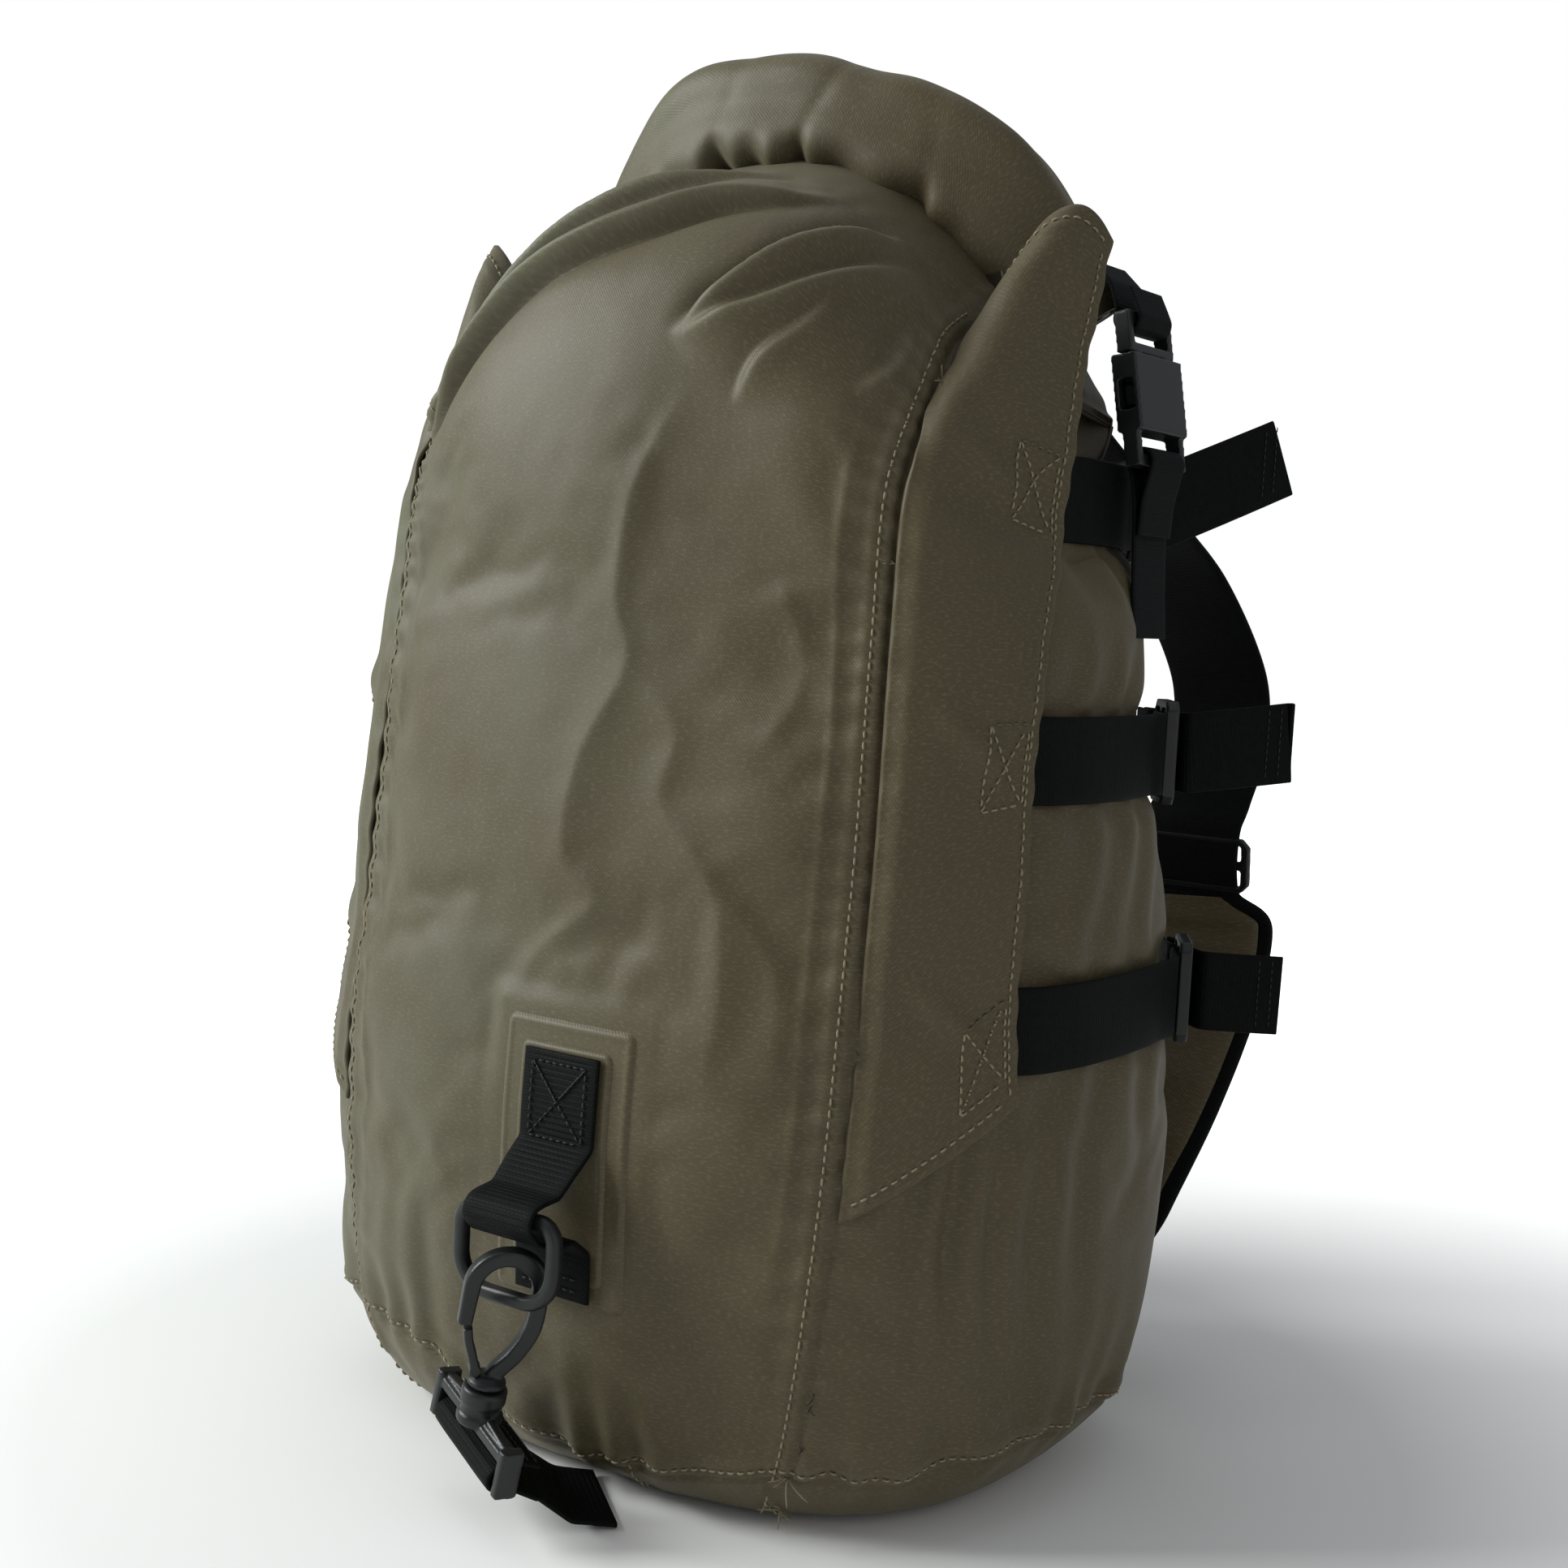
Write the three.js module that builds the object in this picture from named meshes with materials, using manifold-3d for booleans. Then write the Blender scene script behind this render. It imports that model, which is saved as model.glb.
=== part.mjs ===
// Roll-top stuff sack with side compression wings, two shoulder straps and a sling strap
// that clips to a ring on the front with a swivel snap hook.
// Millimetres. +Z up, front towards -Y, the sack stands on z = 0 with its middle at x = y = 0.
import * as THREE from "three";
import { mergeVertices } from "three/addons/utils/BufferGeometryUtils.js";
import Module from "manifold-3d";

const wasm = await Module();
wasm.setup();

// ---------- driving dimensions ----------

// The sack's rings from the floor up: share of the way up, height, half width, half depth,
// middle of the depth, and how square the ring is (2 is an ellipse).
const RINGS = [
  [0.0, 0, 92, 66, 0, 2.6],
  [0.05, 3, 107, 80, 0, 2.6],
  [0.1, 13, 119, 92, 0, 2.6],
  [0.16, 32, 128, 100, 1, 2.6],
  [0.24, 62, 133, 105, 2, 2.6],
  [0.34, 105, 135, 106, 2, 2.6],
  [0.5, 185, 131, 96, -2, 2.5],
  [0.64, 256, 124, 83, -8, 2.5],
  [0.76, 314, 119, 78, -9, 2.5],
  [0.86, 356, 116, 69, -7, 2.4],
  [0.94, 388, 111, 48, -2, 2.2],
  [1.0, 404, 104, 10, 3, 2.0],
];
const SHOULDER = { drop: 88, reach: 108, power: 2.6, from: 0.62 }; // how the top falls away to the sides

const HEM = 0.11; // where the walls meet the bottom panel
const PANEL = 2; // coated fabric with its lining
const SEAM_GAP = 0.35; // degrees left open on each side of a seam
const BACK_SEAM = 52; // degrees from the side towards the back

const ROLL = { reach: 91, top: 423, fall: 70, power: 2.4, y: 3, back: 26, high: 22, deep: 20 };
const ROLL_TURNS = 2.25;
const ROLL_LAYER = 3;

const WING = { off: 3.6, thick: 1.8, from: 0.325, to: 0.965, rise: 0.76 };

const STRAP = { wide: 25, thick: 1.5, off: 2.6 };
// Height, where its ladder lock sits (degrees round from the side towards the back),
// how far the free tail stands out, and how steeply it rises.
const STRAPS = [
  { name: "top", z: 300, at: 40, tail: 58, rise: 24 },
  { name: "middle", z: 226, at: 28, tail: 44, rise: 8 },
  { name: "bottom", z: 151, at: 26, tail: 36, rise: -1 },
];
const LOCK = { wide: 32, long: 25, thick: 4, off: 3.4, bar: 3, slot: 27 };

const PATCH = { x: 12, low: 60, high: 143, wide: 48, thick: 0.8, off: 0.5 };
const LOOP = { x: 12, wide: 25, thick: 1.6, y: -125.5, z: 91, bend: 4.6 };
const RING = { halfWide: 17.5, halfHigh: 11.9, bar: 5.2, corner: 5.5 };
const HOOK = { at: [7.5, -127, 41], lean: 12, turn: 50, mouth: 7, bar: 5.5, deep: 5, arc: 30 };
const BASE = { turn: 22, wide: 48, slot: 40.4, rod: 2.4, drop: 18.5 };
const SLING = { wide: 38, thick: 1.6 };

const BUCKLE = { x: 118.2, y: 22.5, top: 349, lean: 10, wide: 32, deep: 8 };

const HARNESS_WEB = { wide: 38, thick: 2 };
const PAD = { wide: 60, thick: 9 };

// ---------- numbers ----------

const rad = THREE.MathUtils.degToRad;
const vec = (x, y, z) => new THREE.Vector3(x, y, z);

function smooth(from, to, x) {
  const t = THREE.MathUtils.clamp((x - from) / (to - from), 0, 1);
  return t * t * (3 - 2 * t);
}

// One column of RINGS at v, by a cubic that never overshoots its points.
function ringValue(column, v) {
  const x = RINGS.map((r) => r[0]);
  const y = RINGS.map((r) => r[column]);
  const last = x.length - 1;
  const slope = (i) => (y[i + 1] - y[i]) / (x[i + 1] - x[i]);
  const lean = (i) => {
    if (i === 0) return slope(0);
    if (i === last) return slope(last - 1);
    const [a, b] = [slope(i - 1), slope(i)];
    return a * b <= 0 ? 0 : (2 * a * b) / (a + b);
  };
  let i = 0;
  while (i < last - 1 && v > x[i + 1]) i++;
  const h = x[i + 1] - x[i];
  const t = (v - x[i]) / h;
  const [t2, t3] = [t * t, t * t * t];
  const ends = (2 * t3 - 3 * t2 + 1) * y[i] + (3 * t2 - 2 * t3) * y[i + 1];
  return ends + h * ((t3 - 2 * t2 + t) * lean(i) + (t3 - t2) * lean(i + 1));
}

// A point of the sack's outer face: u in degrees from +X towards +Y, v from the floor up.
function sack(u, v) {
  const [z, a, b, yc, n] = [1, 2, 3, 4, 5].map((c) => ringValue(c, v));
  const [c, s] = [Math.cos(rad(u)), Math.sin(rad(u))];
  const x = a * Math.sign(c) * Math.abs(c) ** (2 / n);
  const y = yc + b * Math.sign(s) * Math.abs(s) ** (2 / n);
  const fall = SHOULDER.drop * Math.abs(x / SHOULDER.reach) ** SHOULDER.power;
  const back = ROLL.back * Math.abs(x / ROLL.reach) ** 2.2; // the mouth bends back with the collar
  return vec(x, y + back * smooth(0.93, 1.02, v), z - fall * smooth(SHOULDER.from, 1, v));
}

function sackNormal(u, v) {
  const [du, dv] = [0.5, 0.004];
  const round = sack(u + du, v).sub(sack(u - du, v));
  const up = sack(u, Math.min(1, v + dv)).sub(sack(u, Math.max(0, v - dv)));
  return round.cross(up).normalize();
}

// The v at which the sack is z high at the angle u.
function heightToV(u, z) {
  let [low, high] = [0, 1];
  for (let i = 0; i < 30; i++) {
    const mid = (low + high) / 2;
    if (sack(u, mid).z < z) low = mid;
    else high = mid;
  }
  return (low + high) / 2;
}

const sackAt = (u, z) => sack(u, heightToV(u, z));
const frontSeam = (v) => -56 + 16 * v;
const wingEdge = (v) => -23 + 14 * smooth(0.45, 0.8, v);

// ---------- building solids ----------

function geometryOf(points, triangles) {
  const g = new THREE.BufferGeometry();
  g.setAttribute("position", new THREE.Float32BufferAttribute(points.flatMap((p) => [p.x, p.y, p.z]), 3));
  g.setIndex(triangles.flat());
  return g;
}

// A closed sheet: its outer face is outer(s, t), and inner(s, t) lies behind it.
function sheet(outer, inner, across, up) {
  const points = [];
  const triangles = [];
  const grid = (face) => {
    const first = points.length;
    for (let j = 0; j <= up; j++) {
      for (let i = 0; i <= across; i++) points.push(face(i / across, j / up));
    }
    return (i, j) => first + j * (across + 1) + i;
  };
  const [front, back] = [grid(outer), grid(inner)];
  const quad = (a, b, c, d) => triangles.push([a, b, c], [a, c, d]);
  for (let j = 0; j < up; j++) {
    for (let i = 0; i < across; i++) {
      quad(front(i, j), front(i + 1, j), front(i + 1, j + 1), front(i, j + 1));
      quad(back(i, j), back(i, j + 1), back(i + 1, j + 1), back(i + 1, j));
    }
  }
  for (let i = 0; i < across; i++) {
    quad(front(i + 1, 0), front(i, 0), back(i, 0), back(i + 1, 0));
    quad(front(i, up), front(i + 1, up), back(i + 1, up), back(i, up));
  }
  for (let j = 0; j < up; j++) {
    quad(front(0, j), front(0, j + 1), back(0, j + 1), back(0, j));
    quad(front(across, j + 1), front(across, j), back(across, j), back(across, j + 1));
  }
  return geometryOf(points, triangles);
}

// A flat profile carried through frames, each with an origin and the profile's x and y directions.
function sweep(profile, frames, closed = false) {
  const points = frames.flatMap((f) =>
    profile.map((p) => f.at.clone().addScaledVector(f.x, p.x).addScaledVector(f.y, p.y)),
  );
  const n = profile.length;
  const triangles = [];
  const last = closed ? frames.length : frames.length - 1;
  for (let k = 0; k < last; k++) {
    const next = (k + 1) % frames.length;
    for (let i = 0; i < n; i++) {
      const j = (i + 1) % n;
      const [a, b, c, d] = [k * n + i, k * n + j, next * n + j, next * n + i];
      triangles.push([a, b, c], [a, c, d]);
    }
  }
  if (!closed) {
    const end = (frames.length - 1) * n;
    for (const [a, b, c] of THREE.ShapeUtils.triangulateShape(profile, [])) {
      triangles.push([a, c, b], [end + a, end + b, end + c]);
    }
  }
  return geometryOf(points, triangles);
}

// Frames along a path. side(i) is roughly the profile's x direction at point i.
function framesAlong(path, side, closed = false) {
  const n = path.length;
  return path.map((at, i) => {
    const before = closed ? path[(i + n - 1) % n] : path[Math.max(0, i - 1)];
    const after = closed ? path[(i + 1) % n] : path[Math.min(n - 1, i + 1)];
    const along = after.clone().sub(before).normalize();
    const wish = side(i);
    const x = wish.clone().addScaledVector(along, -wish.dot(along)).normalize();
    return { at, x, y: along.clone().cross(x) };
  });
}

const rectangle = (w, h) => [
  new THREE.Vector2(-w / 2, -h / 2),
  new THREE.Vector2(w / 2, -h / 2),
  new THREE.Vector2(w / 2, h / 2),
  new THREE.Vector2(-w / 2, h / 2),
];

function roundedBar(w, h, cut) {
  const [x, y] = [w / 2, h / 2];
  const corners = [[-x + cut, -y], [x - cut, -y], [x, -y + cut], [x, y - cut]];
  return [...corners, ...corners.map(([a, b]) => [-a, -b])].map(([a, b]) => new THREE.Vector2(a, b));
}

const ribbon = (path, wide, thick, side) => sweep(rectangle(wide, thick), framesAlong(path, side));

// A smooth path through points, cut into steps.
const through = (points, steps) => new THREE.CatmullRomCurve3(points, false, "centripetal").getPoints(steps);

const box = (sx, sy, sz, x, y, z) => new THREE.BoxGeometry(sx, sy, sz).translate(x, y, z);

function toManifold(geometry) {
  const bare = new THREE.BufferGeometry();
  bare.setAttribute("position", geometry.getAttribute("position"));
  if (geometry.index) bare.setIndex(geometry.index);
  const g = mergeVertices(bare, 1e-4);
  const mesh = { numProp: 3, vertProperties: new Float32Array(g.attributes.position.array) };
  return new wasm.Manifold(new wasm.Mesh({ ...mesh, triVerts: new Uint32Array(g.index.array) }));
}

function fromManifold(solid) {
  const mesh = solid.getMesh();
  const g = new THREE.BufferGeometry();
  g.setAttribute("position", new THREE.BufferAttribute(new Float32Array(mesh.vertProperties), 3));
  g.setIndex(new THREE.BufferAttribute(new Uint32Array(mesh.triVerts), 1));
  return g;
}

const join = (geometries) => geometries.map(toManifold).reduce((a, b) => a.add(b));

// ---------- materials ----------

const MATERIALS = {
  fabric: new THREE.MeshStandardMaterial({ color: 0x57523f, roughness: 0.62, metalness: 0 }),
  patch: new THREE.MeshStandardMaterial({ color: 0x605945, roughness: 0.5, metalness: 0 }),
  webbing: new THREE.MeshStandardMaterial({ color: 0x14171a, roughness: 0.75, metalness: 0 }),
  plastic: new THREE.MeshStandardMaterial({ color: 0x26292c, roughness: 0.4, metalness: 0 }),
  stiffener: new THREE.MeshStandardMaterial({ color: 0x1b1c1e, roughness: 0.6, metalness: 0 }),
};

const sackGroup = new THREE.Group();

function add(parent, name, geometry, material) {
  const mesh = new THREE.Mesh(geometry, MATERIALS[material].clone());
  mesh.name = name;
  parent.add(mesh);
  return mesh;
}

// ---------- fabric shell ----------

// The rolled collar's middle line, s from -1 at the left end to 1 at the right: an arch that falls
// away and bends back towards both ends.
const archPoint = (s) =>
  vec(ROLL.reach * s, ROLL.y + ROLL.back * Math.abs(s) ** 2.2, ROLL.top - ROLL.fall * Math.abs(s) ** ROLL.power);

function archFrame(s) {
  const along = archPoint(s + 0.01).sub(archPoint(s - 0.01)).normalize();
  const x = vec(0, 1, 0).addScaledVector(along, -along.y).normalize();
  return { at: archPoint(s), along, x, y: along.clone().cross(x) };
}

const ARCH = Array.from({ length: 121 }, (_, k) => archFrame(k / 60 - 1));

// Whether a point is inside the space the rolled collar takes up.
const inRoll = (p) =>
  ARCH.some((f) => {
    const d = p.clone().sub(f.at);
    return Math.abs(d.dot(f.along)) < 3 && Math.hypot(d.dot(f.x) / (ROLL.deep + 1.2), d.dot(f.y) / (ROLL.high + 1.2)) < 1;
  });

// A wall panel between the angles from(v) and to(v), up to the floor of the rolled collar.
function wallPanel(from, to, across, up, low = HEM + 0.004) {
  const angle = (s, v) => from(v) + SEAM_GAP + (to(v) - from(v) - 2 * SEAM_GAP) * s;
  const top = (s) => {
    let v = 0.8;
    while (v < 0.998 && !inRoll(sack(angle(s, v), v))) v += 0.002;
    return v;
  };
  const tops = Array.from({ length: across + 1 }, (_, i) => top(i / across));
  const place = (s, t, depth) => {
    const v = low + (tops[Math.round(s * across)] - low) * t;
    return sack(angle(s, v), v).addScaledVector(sackNormal(angle(s, v), v), -depth);
  };
  return sheet((s, t) => place(s, t, 0), (s, t) => place(s, t, PANEL), across, up);
}

function addWalls() {
  const leftSeam = (v) => -180 - frontSeam(v);
  add(sackGroup, "front_panel", wallPanel(leftSeam, frontSeam, 12, 13), "fabric");
  add(sackGroup, "back_panel", wallPanel(() => BACK_SEAM, () => 180 - BACK_SEAM, 11, 13), "fabric");
  add(sackGroup, "side_panel_right", wallPanel(frontSeam, () => BACK_SEAM, 10, 13), "fabric");
  add(sackGroup, "side_panel_left", wallPanel(() => 180 - BACK_SEAM, (v) => 180 - frontSeam(v), 10, 13), "fabric");
}

// The solid inside the rings, pushed in by depth, with a lid at the height of v = HEM or above it.
function dishSolid(depth, lid) {
  const levels = [0, 0.03, 0.06, 0.085, HEM];
  const around = 32;
  const rings = levels.map((v) =>
    Array.from({ length: around }, (_, k) => {
      const u = (360 * k) / around;
      const p = sack(u, v).addScaledVector(sackNormal(u, v), -depth);
      if (v === 0) p.z = depth;
      return p;
    }),
  );
  if (lid) rings.push(rings.at(-1).map((p) => p.clone().setZ(p.z + lid)));
  const points = rings.flat();
  const triangles = [];
  for (let j = 0; j < rings.length - 1; j++) {
    for (let i = 0; i < around; i++) {
      const k = (i + 1) % around;
      const [a, b, c, d] = [j * around + i, j * around + k, (j + 1) * around + k, (j + 1) * around + i];
      triangles.push([a, b, c], [a, c, d]);
    }
  }
  const top = (rings.length - 1) * around;
  for (let i = 1; i < around - 1; i++) triangles.push([0, i + 1, i], [top, top + i, top + i + 1]);
  return toManifold(geometryOf(points, triangles));
}

function addBottom() {
  const dish = dishSolid(0, 0).subtract(dishSolid(PANEL, 20));
  add(sackGroup, "bottom_panel", fromManifold(dish), "fabric");
}

// The collar rolled up: a spiral carried along the arch.
const archFrames = (steps, share = 1) =>
  Array.from({ length: steps + 1 }, (_, k) => {
    const t = share * ((2 * k) / steps - 1);
    return archFrame(t * (1.22 - 0.22 * t * t));
  });

function spiralProfile() {
  const perTurn = 13;
  const steps = Math.round(ROLL_TURNS * perTurn);
  const pitch = 5.4;
  const outer = [];
  const inner = [];
  for (let k = 0; k <= steps; k++) {
    const a = -0.5 * Math.PI - (2 * Math.PI * k) / perTurn;
    const shrink = (pitch * k) / perTurn;
    const point = (d) =>
      new THREE.Vector2((ROLL.deep - shrink - d) * Math.cos(a), (ROLL.high - shrink - d) * Math.sin(a));
    outer.push(point(0));
    inner.push(point(ROLL_LAYER));
  }
  const outline = [...outer, ...inner.reverse()];
  return THREE.ShapeUtils.isClockWise(outline) ? outline.reverse() : outline;
}

function addRoll() {
  add(sackGroup, "roll_top_collar", sweep(spiralProfile(), archFrames(14)), "fabric");
  add(sackGroup, "collar_stiffener", sweep(rectangle(2, 9), archFrames(12, 0.92)), "stiffener");
}

// ---------- compression wings, straps and ladder locks (right side, mirrored for the left) ----------

function wingFace(s, t) {
  const lift = 0.07 * s * (1 - smooth(0, 0.5, t)); // the lower edge rises towards the free corner
  const v = WING.from + (WING.to - WING.from) * t + lift;
  const seam = frontSeam(v) + 0.8;
  const off = (u, at) => sack(u, at).addScaledVector(sackNormal(u, Math.min(at, 0.95)), WING.off);
  const close = off(seam + (wingEdge(v) - seam) * s, v);
  if (v < WING.rise) return close;
  // Above the top strap the free edge stands straight up, clear of the shoulder.
  const stand = (v - WING.rise) / (WING.to - WING.rise);
  const upright = off(wingEdge(WING.rise), WING.rise).add(vec(-2 * stand, 22 * stand, 92 * stand));
  const bow = 4 * s * (1 - s) * stand;
  const ruled = off(seam, v).lerp(upright, s).add(vec(5 * bow, -5 * bow, 7 * bow));
  return close.lerp(ruled, smooth(WING.rise, WING.rise + 0.05, v));
}

function wingGeometry() {
  const step = 0.01;
  const behind = (s, t) => {
    const [s0, s1, t0, t1] = [Math.max(0, s - step), Math.min(1, s + step), Math.max(0, t - step), Math.min(1, t + step)];
    const across = wingFace(s1, t).sub(wingFace(s0, t));
    const up = wingFace(s, t1).sub(wingFace(s, t0));
    return wingFace(s, t).addScaledVector(across.cross(up).normalize(), -WING.thick);
  };
  return sheet(wingFace, behind, 6, 16);
}

// A point z high at the angle u that a straight band half * 2 tall can lie on, and its level normal.
function bandSeat(u, z, half) {
  const n = sackNormal(u, heightToV(u, z)).setZ(0).normalize();
  const heights = [-1, -0.75, -0.5, -0.25, 0, 0.5, 1].map((k) => k * half);
  const bulge = Math.max(...heights.map((h) => sackAt(u, z + h).dot(n)));
  const at = sackAt(u, z);
  return { n, at: at.addScaledVector(n, bulge - at.dot(n)).setZ(z) };
}

// Local frame of a ladder lock: t runs towards the back, n points out of the sack.
function lockFrame(strap) {
  const z = strap.z;
  const { at, n } = bandSeat(strap.at, z, LOCK.wide / 2);
  const t = vec(-n.y, n.x, 0);
  const place = (along, out, up = 0) => at.clone().addScaledVector(t, along).addScaledVector(n, out).setZ(z + up);
  return { n, t, place };
}

function strapGeometry(strap) {
  const { z, tail, rise } = strap;
  const lock = lockFrame(strap);
  const start = wingEdge(heightToV(-15, z)) + 1.3;
  const round = [];
  for (let u = start; u < strap.at - 12; u += 6) {
    const { at, n } = bandSeat(u, z, STRAP.wide / 2);
    round.push(at.addScaledVector(n, STRAP.off));
  }
  const woven = [[-17, 2.3], [-8, 2.1], [0, 1.9], [3.8, 2.3], [5, 4.6], [4.6, 8], [2.2, 9.5], [-1, 10.2]];
  const rest = woven.map(([a, b]) => lock.place(a, b));
  const slope = Math.tan(rad(rise));
  for (let k = 0; k <= 6; k++) {
    const out = 12 + ((tail - 12) * k) / 6;
    rest.push(lock.place(-4 + 10 * (out / 60) ** 2, out, (out - 12) * slope));
  }
  return ribbon([...round, ...rest], STRAP.wide, STRAP.thick, () => vec(0, 0, 1));
}

// A flat frame with cut corners and one slot for each [low, high] pair along y.
function ladderGeometry(wide, long, thick, slots, slotWide) {
  const [x, y, r] = [wide / 2, long / 2, 3];
  const corners = [[-x + r, -y], [x - r, -y], [x, -y + r], [x, y - r], [x - r, y], [-x + r, y], [-x, y - r], [-x, -y + r]];
  const outline = new THREE.Shape(corners.map(([a, b]) => new THREE.Vector2(a, b)));
  const plate = toManifold(new THREE.ExtrudeGeometry(outline, { depth: thick, bevelEnabled: false }));
  const cut = (low, high) => toManifold(box(slotWide, high - low, thick + 2, 0, (low + high) / 2, thick / 2));
  return fromManifold(slots.reduce((solid, [low, high]) => solid.subtract(cut(low, high)), plate));
}

// Turns flat geometry (x across, y along, z thick) into a frame at a point.
function setInto(geometry, at, x, y, z) {
  return geometry.applyMatrix4(new THREE.Matrix4().makeBasis(x, y, z).setPosition(at));
}

function lockGeometry(strap) {
  const { n, t, place } = lockFrame(strap);
  const half = LOCK.long / 2;
  const slots = [[-half + LOCK.bar, -1.7], [1.7, half - LOCK.bar]];
  const flat = ladderGeometry(LOCK.wide, LOCK.long, LOCK.thick, slots, LOCK.slot);
  return setInto(flat, place(0, LOCK.off), vec(0, 0, -1), t, n);
}

// A folded web that holds the lock's rear bar to the back seam.
function lockAnchorGeometry(strap) {
  const { place } = lockFrame(strap);
  const bar = LOCK.long / 2 - LOCK.bar / 2;
  const out = LOCK.off + LOCK.thick / 2;
  const fold = [[24, 0.2], [16, 1.0], [bar, out - 3.8], [bar - 3.6, out - 2.5], [bar - 3.8, out + 0.8]];
  const over = [[bar - 2.4, out + 3.2], [bar, out + 3.8], [16.2, out + 1.6], [24.4, 2.2]];
  const path = [...fold, ...over].map(([a, b]) => place(a, b));
  return ribbon(path, STRAP.wide, 1.1, () => vec(0, 0, 1));
}

function addSide(group, side) {
  add(group, `compression_wing_${side}`, wingGeometry(), "fabric");
  for (const strap of STRAPS) {
    add(group, `compression_strap_${strap.name}_${side}`, strapGeometry(strap), "webbing");
    add(group, `ladder_lock_${strap.name}_${side}`, lockGeometry(strap), "plastic");
    add(group, `lock_anchor_${strap.name}_${side}`, lockAnchorGeometry(strap), "webbing");
  }
}

// ---------- side-release buckles at the collar's ends ----------

// Buckle frame: x across the buckle, y down its length, z out of the sack.
function buckleMatrix() {
  const down = vec(Math.sin(rad(BUCKLE.lean)), 0, -Math.cos(rad(BUCKLE.lean)));
  const across = vec(0, 1, 0);
  const out = across.clone().cross(down);
  return new THREE.Matrix4().makeBasis(across, down, out).setPosition(vec(BUCKLE.x, BUCKLE.y, BUCKLE.top));
}

function maleBuckle() {
  const w = BUCKLE.wide;
  const bridge = [
    box(w - 4, 4, 5, 0, -6, 0),
    box(w - 4, 3, 5, 0, 3, 0),
    box(3, 12, 5, -w / 2 + 3, -1.5, 0),
    box(3, 12, 5, w / 2 - 3, -1.5, 0),
  ];
  const prongs = [-1, 1].map((s) => box(3, 17, 4, (s * (w - 13)) / 2, 12, 0));
  const heads = [-1, 1].map((s) => box(5, 6, 4, (s * (w - 11.8)) / 2, 17, 0));
  return fromManifold(join([...bridge, ...prongs, ...heads, box(3, 14, 3, 0, 10.5, 0)]));
}

function femaleBuckle() {
  const w = BUCKLE.wide;
  const body = toManifold(box(w, 23, BUCKLE.deep, 0, 16.5, 0));
  const cavity = toManifold(box(w - 6, 17, 5.4, 0, 12.4, 0));
  const windows = toManifold(box(w + 2, 9, 4.6, 0, 17, 0));
  const tail = join([
    box(3, 11, 5, -w / 2 + 1.5, 32, 0),
    box(3, 11, 5, w / 2 - 1.5, 32, 0),
    box(w, 3.4, 5, 0, 36.6, 0),
  ]);
  return fromManifold(body.subtract(cavity).subtract(windows).add(tail));
}

// A short web folded round a bar, through points [y, z] of the buckle's frame.
const foldedWeb = (points) =>
  ribbon(through(points.map(([y, z]) => vec(0, y, z)), points.length + 3), 22, 1.2, () => vec(1, 0, 0));

// The collar's end tab, up from the plug's rear bar.
const tabPath = [[-25, 9.5], [-18, 4.4], [-10, 3.1], [-6, 4.2], [-3, 3.1], [-2, 0], [-3, -3.1], [-6, -4.2], [-10, -3.1], [-15, -1.6]];

// From the sack's side up to the socket's rear bar, round it, and down again to a row of stitches.
const anchorPath = [
  [88, 10.6], [74, 8.4], [60, 5.4], [48, 3.2], [40.6, 3.2], [36.6, 4.3], [33.4, 3.1],
  [32.6, 0], [33.4, -3.1], [36.6, -4.2], [40.6, -2.6], [48, 0.6], [58, 3.0],
];

function addBuckle(group, side) {
  const m = buckleMatrix();
  const put = (name, geometry, material) => add(group, `${name}_${side}`, geometry.applyMatrix4(m), material);
  put("collar_tab", foldedWeb(tabPath), "webbing");
  put("buckle_plug", maleBuckle(), "plastic");
  put("buckle_socket", femaleBuckle(), "plastic");
  put("buckle_anchor_web", foldedWeb(anchorPath), "webbing");
}

// ---------- shoulder harness ----------

function addHarness(group, side) {
  const web = through(
    [
      vec(58, 67, 342), vec(59, 72, 334), vec(62, 88, 322), vec(70, 112, 304), vec(78, 144, 281),
      vec(85, 169, 248), vec(86, 172, 222), vec(85, 163, 202), vec(84, 158, 192),
    ],
    20,
  );
  add(group, `shoulder_web_${side}`, ribbon(web, HARNESS_WEB.wide, HARNESS_WEB.thick, () => vec(1, 0, 0)), "webbing");

  const slider = ladderGeometry(46, 20, 3, [[-7.5, -1.5], [1.5, 7.5]], 40);
  const down = vec(0, 0.1, -1).normalize();
  const out = vec(1, 0, 0).cross(down).normalize();
  setInto(slider, vec(84, 157, 179), vec(1, 0, 0), down, out);
  add(group, `strap_slider_${side}`, slider, "plastic");

  const pad = through(
    [vec(84, 161, 166), vec(85, 160, 150), vec(86, 148, 128), vec(85, 125, 98), vec(82, 107, 68), vec(79, 101.5, 44)],
    12,
  );
  const across = (i) => vec(1, -0.45 * smooth(6, 12, i), 0);
  const section = roundedBar(PAD.wide, PAD.thick, 2.5);
  add(group, `shoulder_pad_${side}`, sweep(section, framesAlong(pad, across)), "fabric");
}

// ---------- front patch, loop, ring and snap hook ----------

function patchGeometry(shrink, off) {
  const place = (s, t, depth) => {
    const x = PATCH.x + (s - 0.5) * (PATCH.wide - 2 * shrink);
    const z = PATCH.low + shrink + (PATCH.high - PATCH.low - 2 * shrink) * t;
    let [low, high] = [-130, -60];
    for (let i = 0; i < 30; i++) {
      const mid = (low + high) / 2;
      if (sackAt(mid, z).x < x) low = mid;
      else high = mid;
    }
    return sackAt(low, z).add(vec(0, -off + depth, 0));
  };
  return sheet((s, t) => place(s, t, 0), (s, t) => place(s, t, PATCH.thick), 5, 6);
}

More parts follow.
